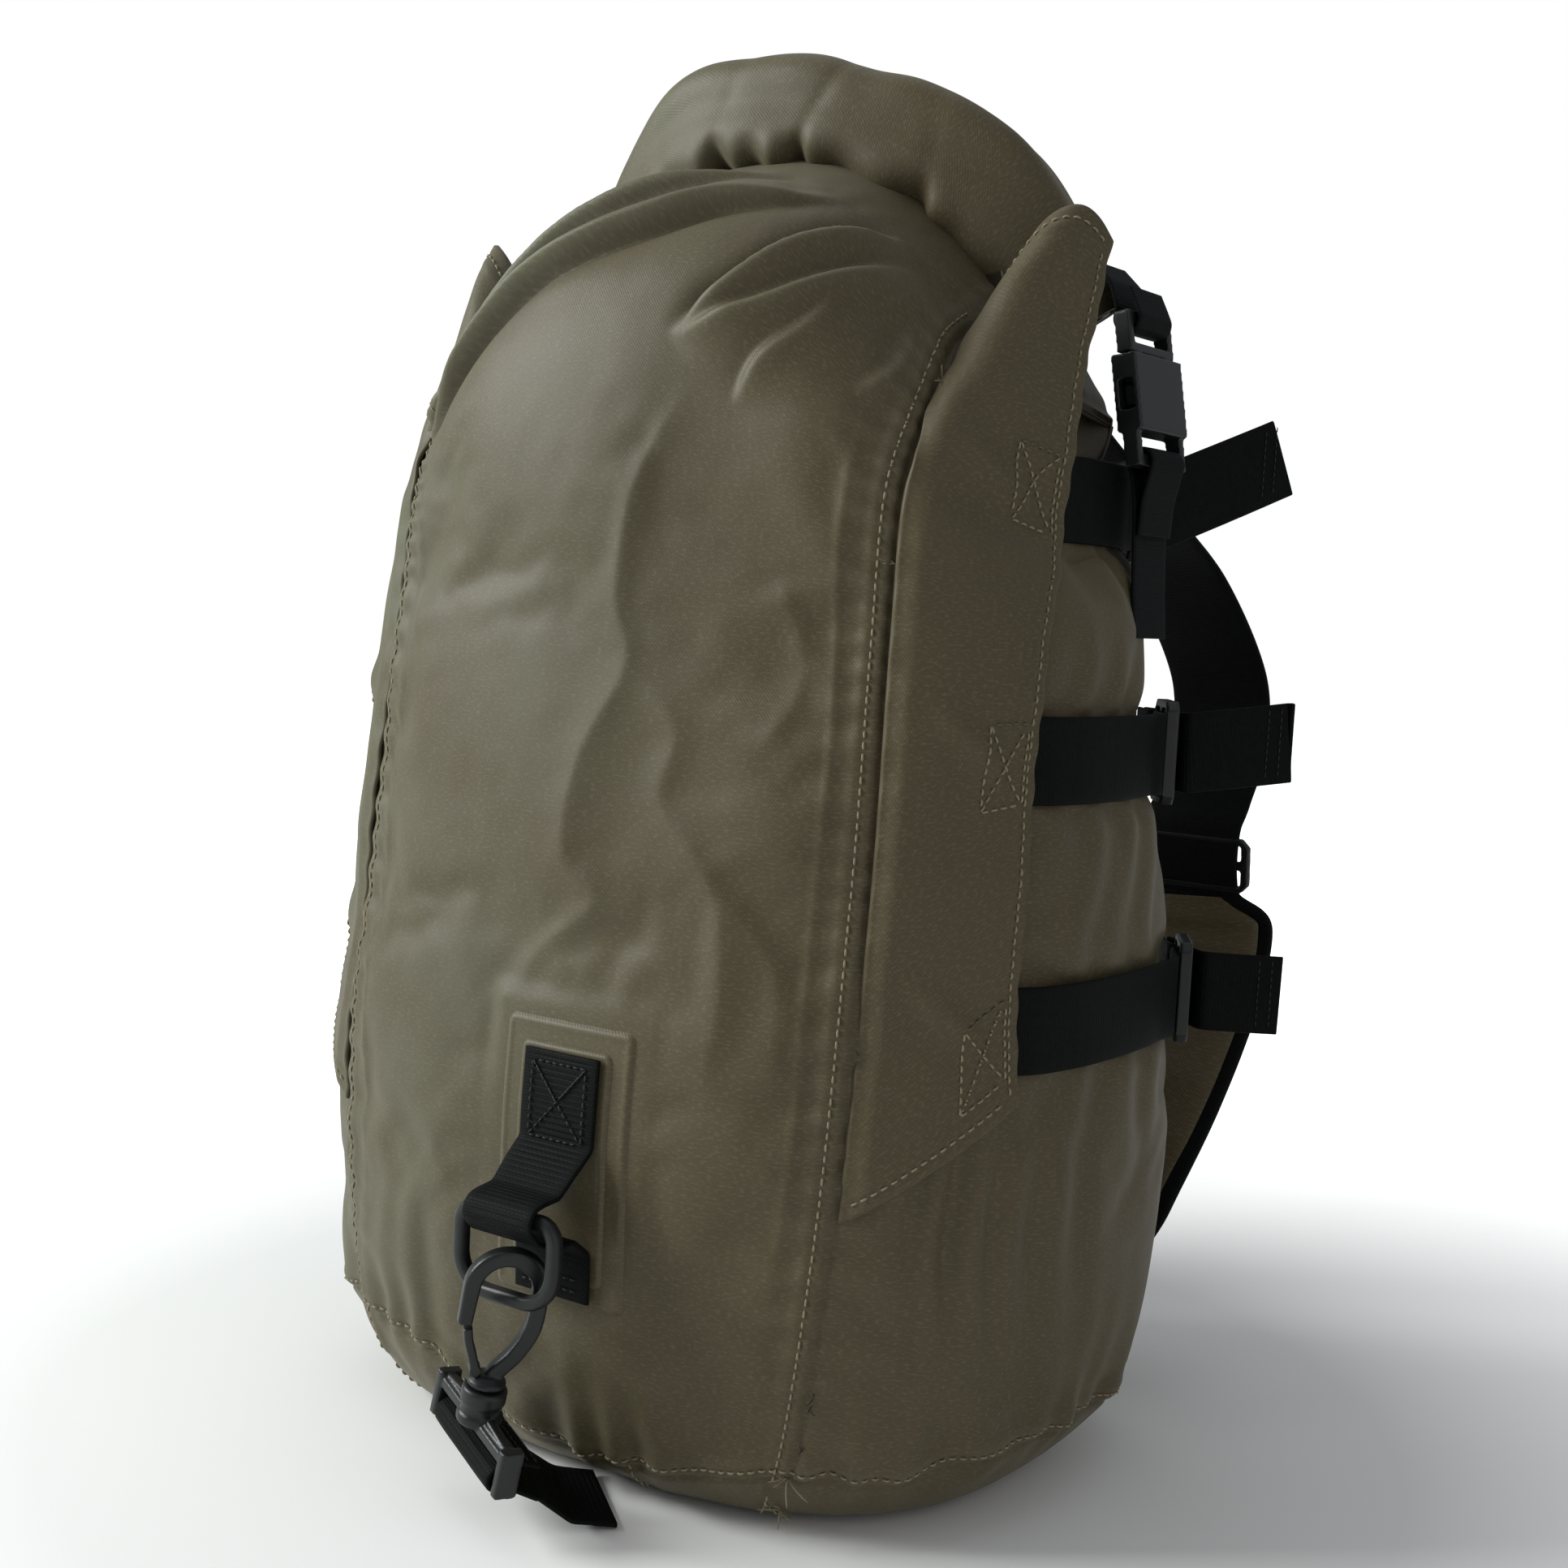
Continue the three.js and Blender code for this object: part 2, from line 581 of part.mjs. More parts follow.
function loopGeometry() {
  const front = -104 - 4.6;
  const arc = [-70, -35, 0, 35, 70, 105].map((a) => {
    const turn = rad(90 + a);
    return [LOOP.y + LOOP.bend * Math.cos(turn), LOOP.z - 0.4 + LOOP.bend * Math.sin(turn)];
  });
  const upper = [[front, 134], [front, 120], [front, 109], [front - 4, 102.5], [front - 10, 96.5]];
  const lower = [[-118, 82.5], [-112.5, 83], [front - 0.4, 79], [front, 70], [front, 63]];
  const path = [...upper, ...arc.slice(2), [LOOP.y - 1, LOOP.z - 5.2], ...lower];
  const points = path.map(([y, z]) => vec(LOOP.x, y, z));
  return ribbon(points, LOOP.wide, LOOP.thick, () => vec(1, 0, 0));
}

function ringGeometry() {
  const path = [];
  const corners = [[1, 1, 0], [-1, 1, 90], [-1, -1, 180], [1, -1, 270]];
  for (const [sx, sz, from] of corners) {
    for (let k = 0; k <= 4; k++) {
      const a = rad(from + (90 * k) / 4);
      const x = sx * (RING.halfWide - RING.corner) + RING.corner * Math.cos(a);
      const z = sz * (RING.halfHigh - RING.corner) + RING.corner * Math.sin(a);
      path.push(vec(LOOP.x + x, LOOP.y, LOOP.z - RING.halfHigh + z));
    }
  }
  const frames = framesAlong(path, () => vec(0, 1, 0), true);
  return sweep(roundedBar(RING.bar, RING.bar, 1.3), frames, true);
}

// Hook frame: x towards the gate, y across the hook's thickness, z up its swivel axis.
function hookMatrix(turn) {
  const lean = new THREE.Matrix4().makeRotationY(rad(HOOK.lean));
  const twist = new THREE.Matrix4().makeRotationZ(rad(turn));
  return new THREE.Matrix4().makeTranslation(...HOOK.at).multiply(lean).multiply(twist);
}

function hookGeometry() {
  const r = HOOK.mouth + HOOK.bar / 2;
  const arc = Array.from({ length: 9 }, (_, k) => {
    const a = rad(180 - (180 * k) / 8);
    return vec(r * Math.cos(a), 0, HOOK.arc + r * Math.sin(a));
  });
  const spine = [vec(-0.8, 0, 1.2), vec(-2, 0, 4.4), vec(-6.4, 0, 10.5), vec(-r, 0, 19)];
  const stroke = sweep(
    roundedBar(HOOK.bar, HOOK.deep, 1.2),
    framesAlong([...spine, ...arc, vec(r, 0, 18.6)], () => vec(0, 1, 0)).map((f) => ({ at: f.at, x: f.y.clone().negate(), y: f.x })),
  );
  const turned = (radius, low, high) =>
    new THREE.CylinderGeometry(radius, radius, high - low, 16).rotateX(Math.PI / 2).translate(0, 0, (low + high) / 2);
  return fromManifold(join([stroke, turned(5.6, -0.1, 2.4), turned(2.6, -7, 0.5), turned(4.2, -7.2, -4.7)]));
}

function gateGeometry() {
  const path = [vec(4.2, 0, 4.6), vec(5.8, 0, 9), vec(7.6, 0, 13.4), vec(8.6, 0, 17.4)];
  const frames = framesAlong(path, () => vec(0, 1, 0)).map((f) => ({ at: f.at, x: f.y.clone().negate(), y: f.x }));
  return sweep(roundedBar(2.8, 5, 0.8), frames);
}

function swivelBaseGeometry() {
  const half = BASE.wide / 2;
  const plate = (half - BASE.slot / 2);
  const bore = toManifold(new THREE.CylinderGeometry(3, 3, 12, 16).rotateX(Math.PI / 2));
  const window = toManifold(box(10, 20, 5.0, 0, 0, -6.2));
  const collar = new THREE.CylinderGeometry(6.6, 6.6, 11, 20).rotateX(Math.PI / 2).translate(0, 0, -6);
  const solid = join([
    collar,
    box(BASE.wide, 6, 3.4, 0, 0, -11),
    box(plate, 7, 14, -half + plate / 2, 0, -15),
    box(plate, 7, 14, half - plate / 2, 0, -15),
    new THREE.CylinderGeometry(BASE.rod, BASE.rod, BASE.wide - 2, 12).rotateZ(Math.PI / 2).translate(0, 0, -BASE.drop - 0.6),
  ]);
  return fromManifold(solid.subtract(bore).subtract(window));
}

// The sling web: round the base's rod, sewn back onto itself, then flat under the sack.
function slingGeometry() {
  const m = hookMatrix(-BASE.turn);
  const local = (out, up) => vec(0, -out, up - BASE.drop - 0.6).applyMatrix4(m);
  const wrap = [[-12, 2.5], [-6, 4.4], [-1, 3.9], [2.6, 2.8], [3.9, 0], [2.6, -2.8], [-1, -3.9], [-6, -4.2]];
  const folded = wrap.map(([out, up]) => local(out, up));
  const tail = [vec(10, -112, 12), vec(17, -103, 3.4), vec(25, -93, 1.2)];
  const across = vec(1, 0, 0).transformDirection(m);
  const path = [...folded, ...tail];
  const flat = vec(0.76, -0.65, 0);
  return ribbon(path, SLING.wide, SLING.thick, (i) => across.clone().lerp(flat, smooth(7, 10, i)));
}

function addFront() {
  add(sackGroup, "patch_backing", patchGeometry(0, PATCH.off + PATCH.thick), "patch");
  add(sackGroup, "patch_cover", patchGeometry(8, PATCH.off + 2 * PATCH.thick + 0.5), "patch");
  add(sackGroup, "front_loop", loopGeometry(), "webbing");
  add(sackGroup, "oval_ring", ringGeometry(), "plastic");
  add(sackGroup, "snap_hook", hookGeometry().applyMatrix4(hookMatrix(180 + HOOK.turn)), "plastic");
  add(sackGroup, "snap_gate", gateGeometry().applyMatrix4(hookMatrix(180 + HOOK.turn)), "plastic");
  add(sackGroup, "swivel_base", swivelBaseGeometry().applyMatrix4(hookMatrix(-BASE.turn)), "plastic");
  add(sackGroup, "sling_web", slingGeometry(), "webbing");
}

addWalls();
addBottom();
addRoll();
addFront();

const right = new THREE.Group();
const left = new THREE.Group();
left.scale.x = -1;
sackGroup.add(right, left);
for (const [group, side] of [[right, "right"], [left, "left"]]) {
  addSide(group, side);
  addBuckle(group, side);
  addHarness(group, side);
}

export default sackGroup;
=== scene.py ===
"""A roll-top stuff sack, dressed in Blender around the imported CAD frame.

Shapes are worked out in millimetres and turned to metres when a mesh is made.
"""
import math

import bmesh
import bpy
import numpy as np
from mathutils import Matrix, Vector


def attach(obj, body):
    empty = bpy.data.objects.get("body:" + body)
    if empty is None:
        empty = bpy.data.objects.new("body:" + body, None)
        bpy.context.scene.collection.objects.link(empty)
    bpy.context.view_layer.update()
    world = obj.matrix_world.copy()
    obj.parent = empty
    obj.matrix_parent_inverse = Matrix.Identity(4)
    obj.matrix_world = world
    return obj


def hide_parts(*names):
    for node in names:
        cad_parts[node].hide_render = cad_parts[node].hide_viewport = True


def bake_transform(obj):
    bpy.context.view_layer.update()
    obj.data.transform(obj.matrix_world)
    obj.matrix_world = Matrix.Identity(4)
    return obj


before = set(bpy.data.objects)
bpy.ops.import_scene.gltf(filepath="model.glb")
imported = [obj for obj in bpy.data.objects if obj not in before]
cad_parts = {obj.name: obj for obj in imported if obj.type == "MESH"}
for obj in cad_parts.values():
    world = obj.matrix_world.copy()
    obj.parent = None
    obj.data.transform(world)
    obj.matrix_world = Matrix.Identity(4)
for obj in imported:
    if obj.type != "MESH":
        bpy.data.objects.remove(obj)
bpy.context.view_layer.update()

MM = 0.001
SIDES = (("right", 1), ("left", -1))

# ---------------------------------------------------------------- camera

CAMERA_AT = (0.4031, -0.5601, 0.268)
CAMERA_TURN, CAMERA_PITCH, CAMERA_ROLL = 35.0, -5.08, 3.0
CAMERA_SENSOR, CAMERA_LENS = 36, 48.45


def add_camera():
    data = bpy.data.cameras.new("photo_camera")
    data.sensor_width = CAMERA_SENSOR
    data.lens = CAMERA_LENS
    camera = bpy.data.objects.new("photo_camera", data)
    bpy.context.scene.collection.objects.link(camera)
    turn = Matrix.Rotation(math.radians(CAMERA_TURN), 4, "Z")
    pitch = Matrix.Rotation(math.radians(90 + CAMERA_PITCH), 4, "X")
    roll = Matrix.Rotation(math.radians(CAMERA_ROLL), 4, "Z")
    camera.matrix_world = Matrix.Translation(CAMERA_AT) @ turn @ pitch @ roll
    bpy.context.scene.camera = camera


add_camera()

# ---------------------------------------------------------------- the sack's surface, as in the CAD model

# share of the way up, height, half width, half depth, middle of the depth, squareness
RINGS = np.array([
    [0.0, 0, 92, 66, 0, 2.6],
    [0.05, 3, 107, 80, 0, 2.6],
    [0.1, 13, 119, 92, 0, 2.6],
    [0.16, 32, 128, 100, 1, 2.6],
    [0.24, 62, 133, 105, 2, 2.6],
    [0.34, 105, 135, 106, 2, 2.6],
    [0.5, 185, 131, 96, -2, 2.5],
    [0.64, 256, 124, 83, -8, 2.5],
    [0.76, 314, 119, 78, -9, 2.5],
    [0.86, 356, 116, 69, -7, 2.4],
    [0.94, 388, 111, 48, -2, 2.2],
    [1.0, 404, 104, 10, 3, 2.0],
])
SHOULDER_DROP, SHOULDER_REACH, SHOULDER_POWER, SHOULDER_FROM = 88, 108, 2.6, 0.62
HEM = 0.11
BACK_SEAM = 52
PATCH_X, PATCH_LOW, PATCH_HIGH, PATCH_WIDE = 12, 60, 143, 48
ROLL = dict(reach=91, top=423, fall=70, power=2.4, y=3, back=26, high=22, deep=20)


def smooth(low, high, x):
    """0 at low and 1 at high, with soft ends; low may be the larger."""
    t = np.clip((np.asarray(x, float) - low) / (high - low), 0, 1)
    return t * t * (3 - 2 * t)


def bell(x, width, power=2):
    """A bump, 1 at x = 0, that falls away over this width."""
    return np.exp(-((x / width) ** power))


def signed_power(a, power):
    return np.sign(a) * np.abs(a) ** power


def ring_values(v):
    """Each ring column at v, by a cubic that never overshoots its points."""
    v = np.clip(np.asarray(v, float), 0, 1)
    x, y = RINGS[:, 0], RINGS[:, 1:]
    h = np.diff(x)
    slope = np.diff(y, axis=0) / h[:, None]
    a, b = slope[:-1], slope[1:]
    both = np.where(np.abs(a + b) < 1e-9, 1, a + b)
    lean = np.vstack([slope[:1], np.where(a * b <= 0, 0, 2 * a * b / both), slope[-1:]])
    i = np.clip(np.searchsorted(x, v, side="left") - 1, 0, len(h) - 1)
    t = ((v - x[i]) / h[i])[..., None]
    step = h[i][..., None]
    t2, t3 = t * t, t * t * t
    value = (2 * t3 - 3 * t2 + 1) * y[i] + (3 * t2 - 2 * t3) * y[i + 1]
    value = value + step * ((t3 - 2 * t2 + t) * lean[i] + (t3 - t2) * lean[i + 1])
    return [value[..., k] for k in range(5)]


def sack(u, v):
    """A point of the sack's outer face: u in degrees from +X towards +Y, v from the floor up."""
    u, v = np.broadcast_arrays(np.asarray(u, float), np.asarray(v, float))
    z, a, b, yc, n = ring_values(v)
    c, s = np.cos(np.radians(u)), np.sin(np.radians(u))
    x = a * signed_power(c, 2 / n)
    y = yc + b * signed_power(s, 2 / n)
    fall = SHOULDER_DROP * np.abs(x / SHOULDER_REACH) ** SHOULDER_POWER
    y = y + ROLL["back"] * np.abs(x / ROLL["reach"]) ** 2.2 * smooth(0.93, 1.02, v)
    return np.stack([x, y, z - fall * smooth(SHOULDER_FROM, 1, v)], -1)


def unit(a):
    return a / np.maximum(np.linalg.norm(a, axis=-1, keepdims=True), 1e-9)


def sack_normal(u, v):
    u, v = np.broadcast_arrays(np.asarray(u, float), np.asarray(v, float))
    round_ = sack(u + 0.5, v) - sack(u - 0.5, v)
    up = sack(u, np.minimum(1, v + 0.004)) - sack(u, np.maximum(0, v - 0.004))
    return unit(np.cross(round_, up))


def height_to_v(u, z):
    u, z = np.broadcast_arrays(np.asarray(u, float), np.asarray(z, float))
    low, high = np.zeros(u.shape), np.ones(u.shape)
    for _ in range(30):
        mid = (low + high) / 2
        below = sack(u, mid)[..., 2] < z
        low, high = np.where(below, mid, low), np.where(below, high, mid)
    return (low + high) / 2


def sack_at(u, z):
    return sack(u, height_to_v(u, z))


def front_angle(x, v):
    """The angle at which the front of the sack is x wide at v."""
    x, v = np.broadcast_arrays(np.asarray(x, float), np.asarray(v, float))
    low, high = np.full(x.shape, -179.0), np.full(x.shape, -1.0)
    for _ in range(26):
        middle = (low + high) / 2
        short = sack(middle, v)[..., 0] < x
        low, high = np.where(short, middle, low), np.where(short, high, middle)
    return (low + high) / 2


def front_place(x, z):
    """Angle and share of the way up of the front's point at x and z."""
    v = height_to_v(-85.0, z)
    for _ in range(2):
        u = front_angle(x, v)
        v = height_to_v(u, z)
    return u, v


def front_seam(v):
    return -56 + 16 * np.asarray(v, float)


def wing_edge(v):
    return -23 + 14 * smooth(0.45, 0.8, v)


# ---------------------------------------------------------------- meshes


def link(obj):
    bpy.context.scene.collection.objects.link(obj)
    return obj


def mesh_object(name, verts, quads, uvs=None, caps=()):
    """A smooth-shaded mesh from points in mm. quads is (n, 4); caps are rings of vertex numbers."""
    mesh = bpy.data.meshes.new(name)
    quads = np.asarray(quads, np.int32).reshape(-1, 4)
    polygons = [quads.ravel()]
    sizes = [np.full(len(quads), 4, np.int32)]
    for cap in caps:
        polygons.append(np.asarray(cap, np.int32))
        sizes.append(np.array([len(cap)], np.int32))
    loops = np.concatenate(polygons)
    sizes = np.concatenate(sizes)
    mesh.vertices.add(len(verts))
    mesh.vertices.foreach_set("co", (np.asarray(verts, float) * MM).astype(np.float32).ravel())
    mesh.loops.add(len(loops))
    mesh.loops.foreach_set("vertex_index", loops)
    mesh.polygons.add(len(sizes))
    starts = np.concatenate([[0], np.cumsum(sizes)[:-1]])
    mesh.polygons.foreach_set("loop_start", starts.astype(np.int32))
    mesh.polygons.foreach_set("loop_total", sizes)
    mesh.update(calc_edges=True)
    mesh.validate()
    layer = mesh.uv_layers.new(name="cloth")
    if uvs is not None and len(uvs) <= len(mesh.loops):
        flat = np.zeros((len(mesh.loops), 2), np.float32)
        flat[: len(uvs)] = uvs
        layer.data.foreach_set("uv", flat.ravel())
    mesh.polygons.foreach_set("use_smooth", np.ones(len(mesh.polygons), bool))
    return link(bpy.data.objects.new(name, mesh))


def grid_quads(rows, cols, wrap, first=0):
    j, i = np.meshgrid(np.arange(rows - 1), np.arange(cols if wrap else cols - 1), indexing="ij")
    k = (i + 1) % cols
    low, high = first + j * cols, first + (j + 1) * cols
    return np.stack([low + i, low + k, high + k, high + i], -1).reshape(-1, 4)


def end_caps(rows, cols, first=0):
    """The two end faces of a closed grid."""
    return [[first + k for k in range(cols)][::-1], [first + (rows - 1) * cols + k for k in range(cols)]]


def grid_uvs(uv, wrap_last=None):
    """Loop coordinates for grid_quads from uv (rows, cols, 2); wrap_last is the extra column."""
    if wrap_last is not None:
        uv = np.concatenate([uv, wrap_last[:, None]], 1)
    a, b, c, d = uv[:-1, :-1], uv[:-1, 1:], uv[1:, 1:], uv[1:, :-1]
    return np.stack([a, b, c, d], 2).reshape(-1, 2)


def arc(points):
    """Distance along a list of points, from 0."""
    return np.concatenate([[0], np.cumsum(np.linalg.norm(np.diff(points, axis=0), axis=1))])


def resample(points, step=None, count=None):
    points = np.asarray(points, float)
    s = arc(points)
    count = count or max(2, int(round(s[-1] / step)) + 1)
    t = np.linspace(0, s[-1], count)
    return np.stack([np.interp(t, s, points[:, k]) for k in range(3)], -1)


def spline(points, count):
    """A Catmull-Rom curve through points."""
    p = np.asarray(points, float)
    p = np.vstack([2 * p[0] - p[1], p, 2 * p[-1] - p[-2]])
    t = np.linspace(0, len(p) - 3, count)
    i = np.minimum(t.astype(int), len(p) - 4)
    f = (t - i)[:, None]
    a, b, c, d = p[i], p[i + 1], p[i + 2], p[i + 3]
    square, cube = 2 * a - 5 * b + 4 * c - d, 3 * b - a - 3 * c + d
    return 0.5 * (2 * b + (c - a) * f + square * f**2 + cube * f**3)


def blur(points, times):
    """Points drawn towards their neighbours, with both ends held."""
    p = np.array(points, float)
    for _ in range(times):
        p[1:-1] = (p[:-2] + 2 * p[1:-1] + p[2:]) / 4
    return p


def frames_along(path, wish, closed=False):
    """Unit directions along, across and out for each point of a path."""
    path = np.asarray(path, float)
    if closed:
        along = unit(np.roll(path, -1, 0) - np.roll(path, 1, 0))
    else:
        along = unit(np.gradient(path, axis=0))
    wish = np.broadcast_to(np.asarray(wish, float), path.shape)
    across = unit(wish - np.sum(wish * along, -1, keepdims=True) * along)
    return along, across, np.cross(along, across)


def sweep(name, path, section, wish, closed=False):
    """A tube: section is (n, 2) or (points, n, 2) in mm, across and out."""
    path = np.asarray(path, float)
    along, across, out = frames_along(path, wish, closed)
    section = np.asarray(section, float)
    if section.ndim == 2:
        section = np.broadcast_to(section, (len(path),) + section.shape)
    points = path[:, None] + section[..., :1] * across[:, None] + section[..., 1:] * out[:, None]
    rows, cols = points.shape[:2]
    if closed:
        points = np.concatenate([points, points[:1]], 0)
    girth = arc(np.vstack([section[0], section[0][:1]]))
    length = arc(np.vstack([path, path[:1]]) if closed else path)
    uv = np.stack(np.meshgrid(girth, length), -1) * MM
    quads = grid_quads(len(points), cols, True)
    uvs = grid_uvs(uv[:, :-1], uv[:, -1])
    if closed:
        quads = quads % (rows * cols)
        return mesh_object(name, points[:-1].reshape(-1, 3), quads, uvs)
    return mesh_object(name, points.reshape(-1, 3), quads, uvs, end_caps(rows, cols))


def rounded(width, height, power=3.0, count=28):
    """A rounded rectangle section as a superellipse."""
    a = np.linspace(0, 2 * math.pi, count, endpoint=False)
    c, s = np.cos(a), np.sin(a)
    return np.stack([width / 2 * signed_power(c, 2 / power), height / 2 * signed_power(s, 2 / power)], -1)


def strap_section(width, thick, count=26):
    """A flat webbing section: level faces with small round edges."""
    edge = thick / 2
    x = np.linspace(-width / 2 + edge, width / 2 - edge, count // 2)
    a = np.linspace(-math.pi / 2, math.pi / 2, 5)[1:-1]
    right = np.stack([width / 2 - edge + edge * np.cos(a), edge * np.sin(a)], -1)
    low = np.stack([x, np.full_like(x, -thick / 2)], -1)
    high = np.stack([x[::-1], np.full_like(x, thick / 2)], -1)
    return np.vstack([low, right, high, right[::-1] * [-1, 1]])


def webbing(name, path, width, thick, wish, rib=1.7, rise=0.16, step=0.42, narrow=None):
    """Ribbed webbing along a path. narrow(share of the way) scales the width."""
    fine = resample(path, step)
    wish = np.asarray(wish, float)
    if wish.ndim == 2:
        at = np.linspace(0, 1, len(wish))
        t = np.linspace(0, 1, len(fine))
        wish = np.stack([np.interp(t, at, wish[:, k]) for k in range(3)], -1)
    base = strap_section(width, thick)
    s = arc(fine)
    ribs = rise * (np.abs(np.sin(math.pi * s / rib)) - 0.5)
    section = np.repeat(base[None], len(fine), 0)
    flat = np.clip(1 - np.abs(base[:, 0]) / (width / 2 - 1.2), 0, 0.25) * 4
    section[..., 1] += np.sign(base[:, 1]) * ribs[:, None] * flat
    if narrow is not None:
        section[..., 0] *= narrow(s / s[-1])[:, None]
    return sweep(name, fine, section, wish)


def thread_rings(points, radius, sides):
    """Rings of points round a thread, tapered at its ends."""
    along, across, out = frames_along(points, (0.31, 0.27, 0.91))
    r = np.full(len(points), radius)
    r[0] = r[-1] = radius * 0.4
    a = np.linspace(0, 2 * math.pi, sides, endpoint=False)
    ring = np.cos(a)[None, :, None] * across[:, None] + np.sin(a)[None, :, None] * out[:, None]
    return points[:, None] + ring * r[:, None, None]


def thread_mesh(name, runs, radius=0.36, sides=6):
    """One mesh of many short threads; each run is a list of points in mm."""
    verts, quads, caps, first = [], [], [], 0
    for run in runs:
        rings = thread_rings(np.asarray(run, float), radius, sides)
        rows, cols = rings.shape[:2]
        verts.append(rings.reshape(-1, 3))
        quads.append(grid_quads(rows, cols, True, first))
        caps += end_caps(rows, cols, first)
        first += rows * cols
    return mesh_object(name, np.vstack(verts), np.vstack(quads), None, caps)


def stitch_runs(path, normals, pitch=3.2, length=2.35, rise=0.42, sink=0.25):
    """Short arched threads along a path that lies on a cloth."""
    s = arc(path)
    runs = []
    for k in range(int(s[-1] / pitch)):
        a = (k + 0.15) * pitch
        t = np.linspace(a, a + length, 6)
        p = np.stack([np.interp(t, s, path[:, i]) for i in range(3)], -1)
        n = np.stack([np.interp(t, s, normals[:, i]) for i in range(3)], -1)
        lift = -sink + (rise + sink) * np.sin(np.linspace(0.12, math.pi - 0.12, 6))
        runs.append(p + unit(n) * lift[:, None])
    return runs


# ---------------------------------------------------------------- materials


def shade(color, times, most=math.inf):
    """A colour made lighter or darker, opaque."""
    return tuple(min(most, c * times) for c in color[:3]) + (1,)


class Nodes:
    """A small helper for building a node material."""

    def __init__(self, name):
        self.material = bpy.data.materials.new(name)
        self.material.use_nodes = True
        self.tree = self.material.node_tree
        self.shader = self.tree.nodes["Principled BSDF"]

    def add(self, kind, inputs=None, **settings):
        node = self.tree.nodes.new("ShaderNode" + kind)
        for key, value in settings.items():
            setattr(node, key, value)
        for key, value in (inputs or {}).items():
            if isinstance(value, bpy.types.NodeSocket):
                self.tree.links.new(value, node.inputs[key])
            else:
                node.inputs[key].default_value = value
        return node

    def link(self, output, name):
        """Feed one of the shader's inputs."""
        self.tree.links.new(output, self.shader.inputs[name])

    def math(self, operation, a, b=0.0):
        return self.add("Math", {0: a, 1: b}, operation=operation).outputs[0]

    def mix(self, factor, a, b):
        return self.add("Mix", {0: factor, 6: a, 7: b}, data_type="RGBA").outputs[2]

    def wave(self, coordinates, scale, distortion, direction):
        settings = {"Vector": coordinates, "Scale": scale, "Distortion": distortion, "Detail": 1.0}
        return self.add("TexWave", settings, bands_direction=direction).outputs["Fac"]

    def settings(self, **values):
        for name, value in values.items():
            self.shader.inputs[name.replace("_", " ")].default_value = value

    def ramp(self, value, low, high):
        return self.add("MapRange", {"Value": value, "From Min": low, "From Max": high}).outputs[0]

    def noise(self, coordinates, scale, detail=3.0, roughness=0.55):
        settings = {"Vector": coordinates, "Scale": scale, "Detail": detail, "Roughness": roughness}
        return self.add("TexNoise", settings).outputs["Fac"]

    def bump(self, height, strength, distance, under=None):
        settings = {"Height": height, "Strength": strength, "Distance": distance}
        if under is not None:
            settings["Normal"] = under
        return self.add("Bump", settings).outputs[0]


def fabric_material(name, warm, cool, sheen=0.1, rough=0.52):
    """Coated twill nylon: a fine diagonal weave, soft mottling and a satin sheen, with a painted sheen that
    turns the cloth paler and greener towards the -X, window side, and a painted highlight on raised folds.
    """
    m = Nodes(name)
    coordinates = m.add("TexCoord")
    place = coordinates.outputs["Object"]
    cloth = coordinates.outputs["UV"]
    twill = m.wave(cloth, 560.0, 0.6, "DIAGONAL")
    weft = m.wave(cloth, 900.0, 0.4, "X")
    mottle = m.noise(place, 14.0, 4.0, 0.6)
    fibres = m.add("VectorMath", {0: cloth, 1: (0.35, 1.0, 1.0)}, operation="MULTIPLY").outputs[0]
    fine = m.noise(fibres, 1500.0, 2.0)
    # painted sheen: the colour runs from the paler, greener cool colour on the -X side, where the window
    # light falls, to the browner warm colour on the +X side
    across = m.add("SeparateXYZ", {0: place})
    lean = m.ramp(m.math("ADD", across.outputs[0], m.math("MULTIPLY", mottle, 0.07)), -0.02, 0.09)
    painted_sheen_tone = m.mix(lean, cool, warm)
    dark = m.mix(m.ramp(mottle, 0.35, 0.7), shade(warm, 0.93), painted_sheen_tone)
    # painted highlight: cloth raised above its nearby folds is lightened towards a paler cool colour, so the
    # creases between read darker
    painted_ridge_mask = m.add("Attribute", attribute_name="painted_ridge_light").outputs["Fac"]
    lit = m.mix(m.math("MULTIPLY", painted_ridge_mask, 0.35), dark, shade(cool, 1.7, 1))
    speck = m.mix(m.math("MULTIPLY", m.ramp(fine, 0.5, 0.72), 0.38), lit, shade(cool, 1.5))
    m.link(m.mix(m.math("MULTIPLY", twill, 0.16), speck, shade(warm, 0.6)), "Base Color")
    m.link(m.math("ADD", rough - 0.06, m.math("MULTIPLY", mottle, 0.14)), "Roughness")
    weave = m.bump(m.math("ADD", twill, m.math("MULTIPLY", weft, 0.5)), 0.22, 0.00012)
    m.link(m.bump(m.noise(place, 160.0, 3.0), 0.10, 0.0006, weave), "Normal")
    tint = (0.9, 0.88, 0.7, 1)
    m.settings(Sheen_Weight=sheen, Sheen_Roughness=0.45, Sheen_Tint=tint, Specular_IOR_Level=0.28)
    return m.material


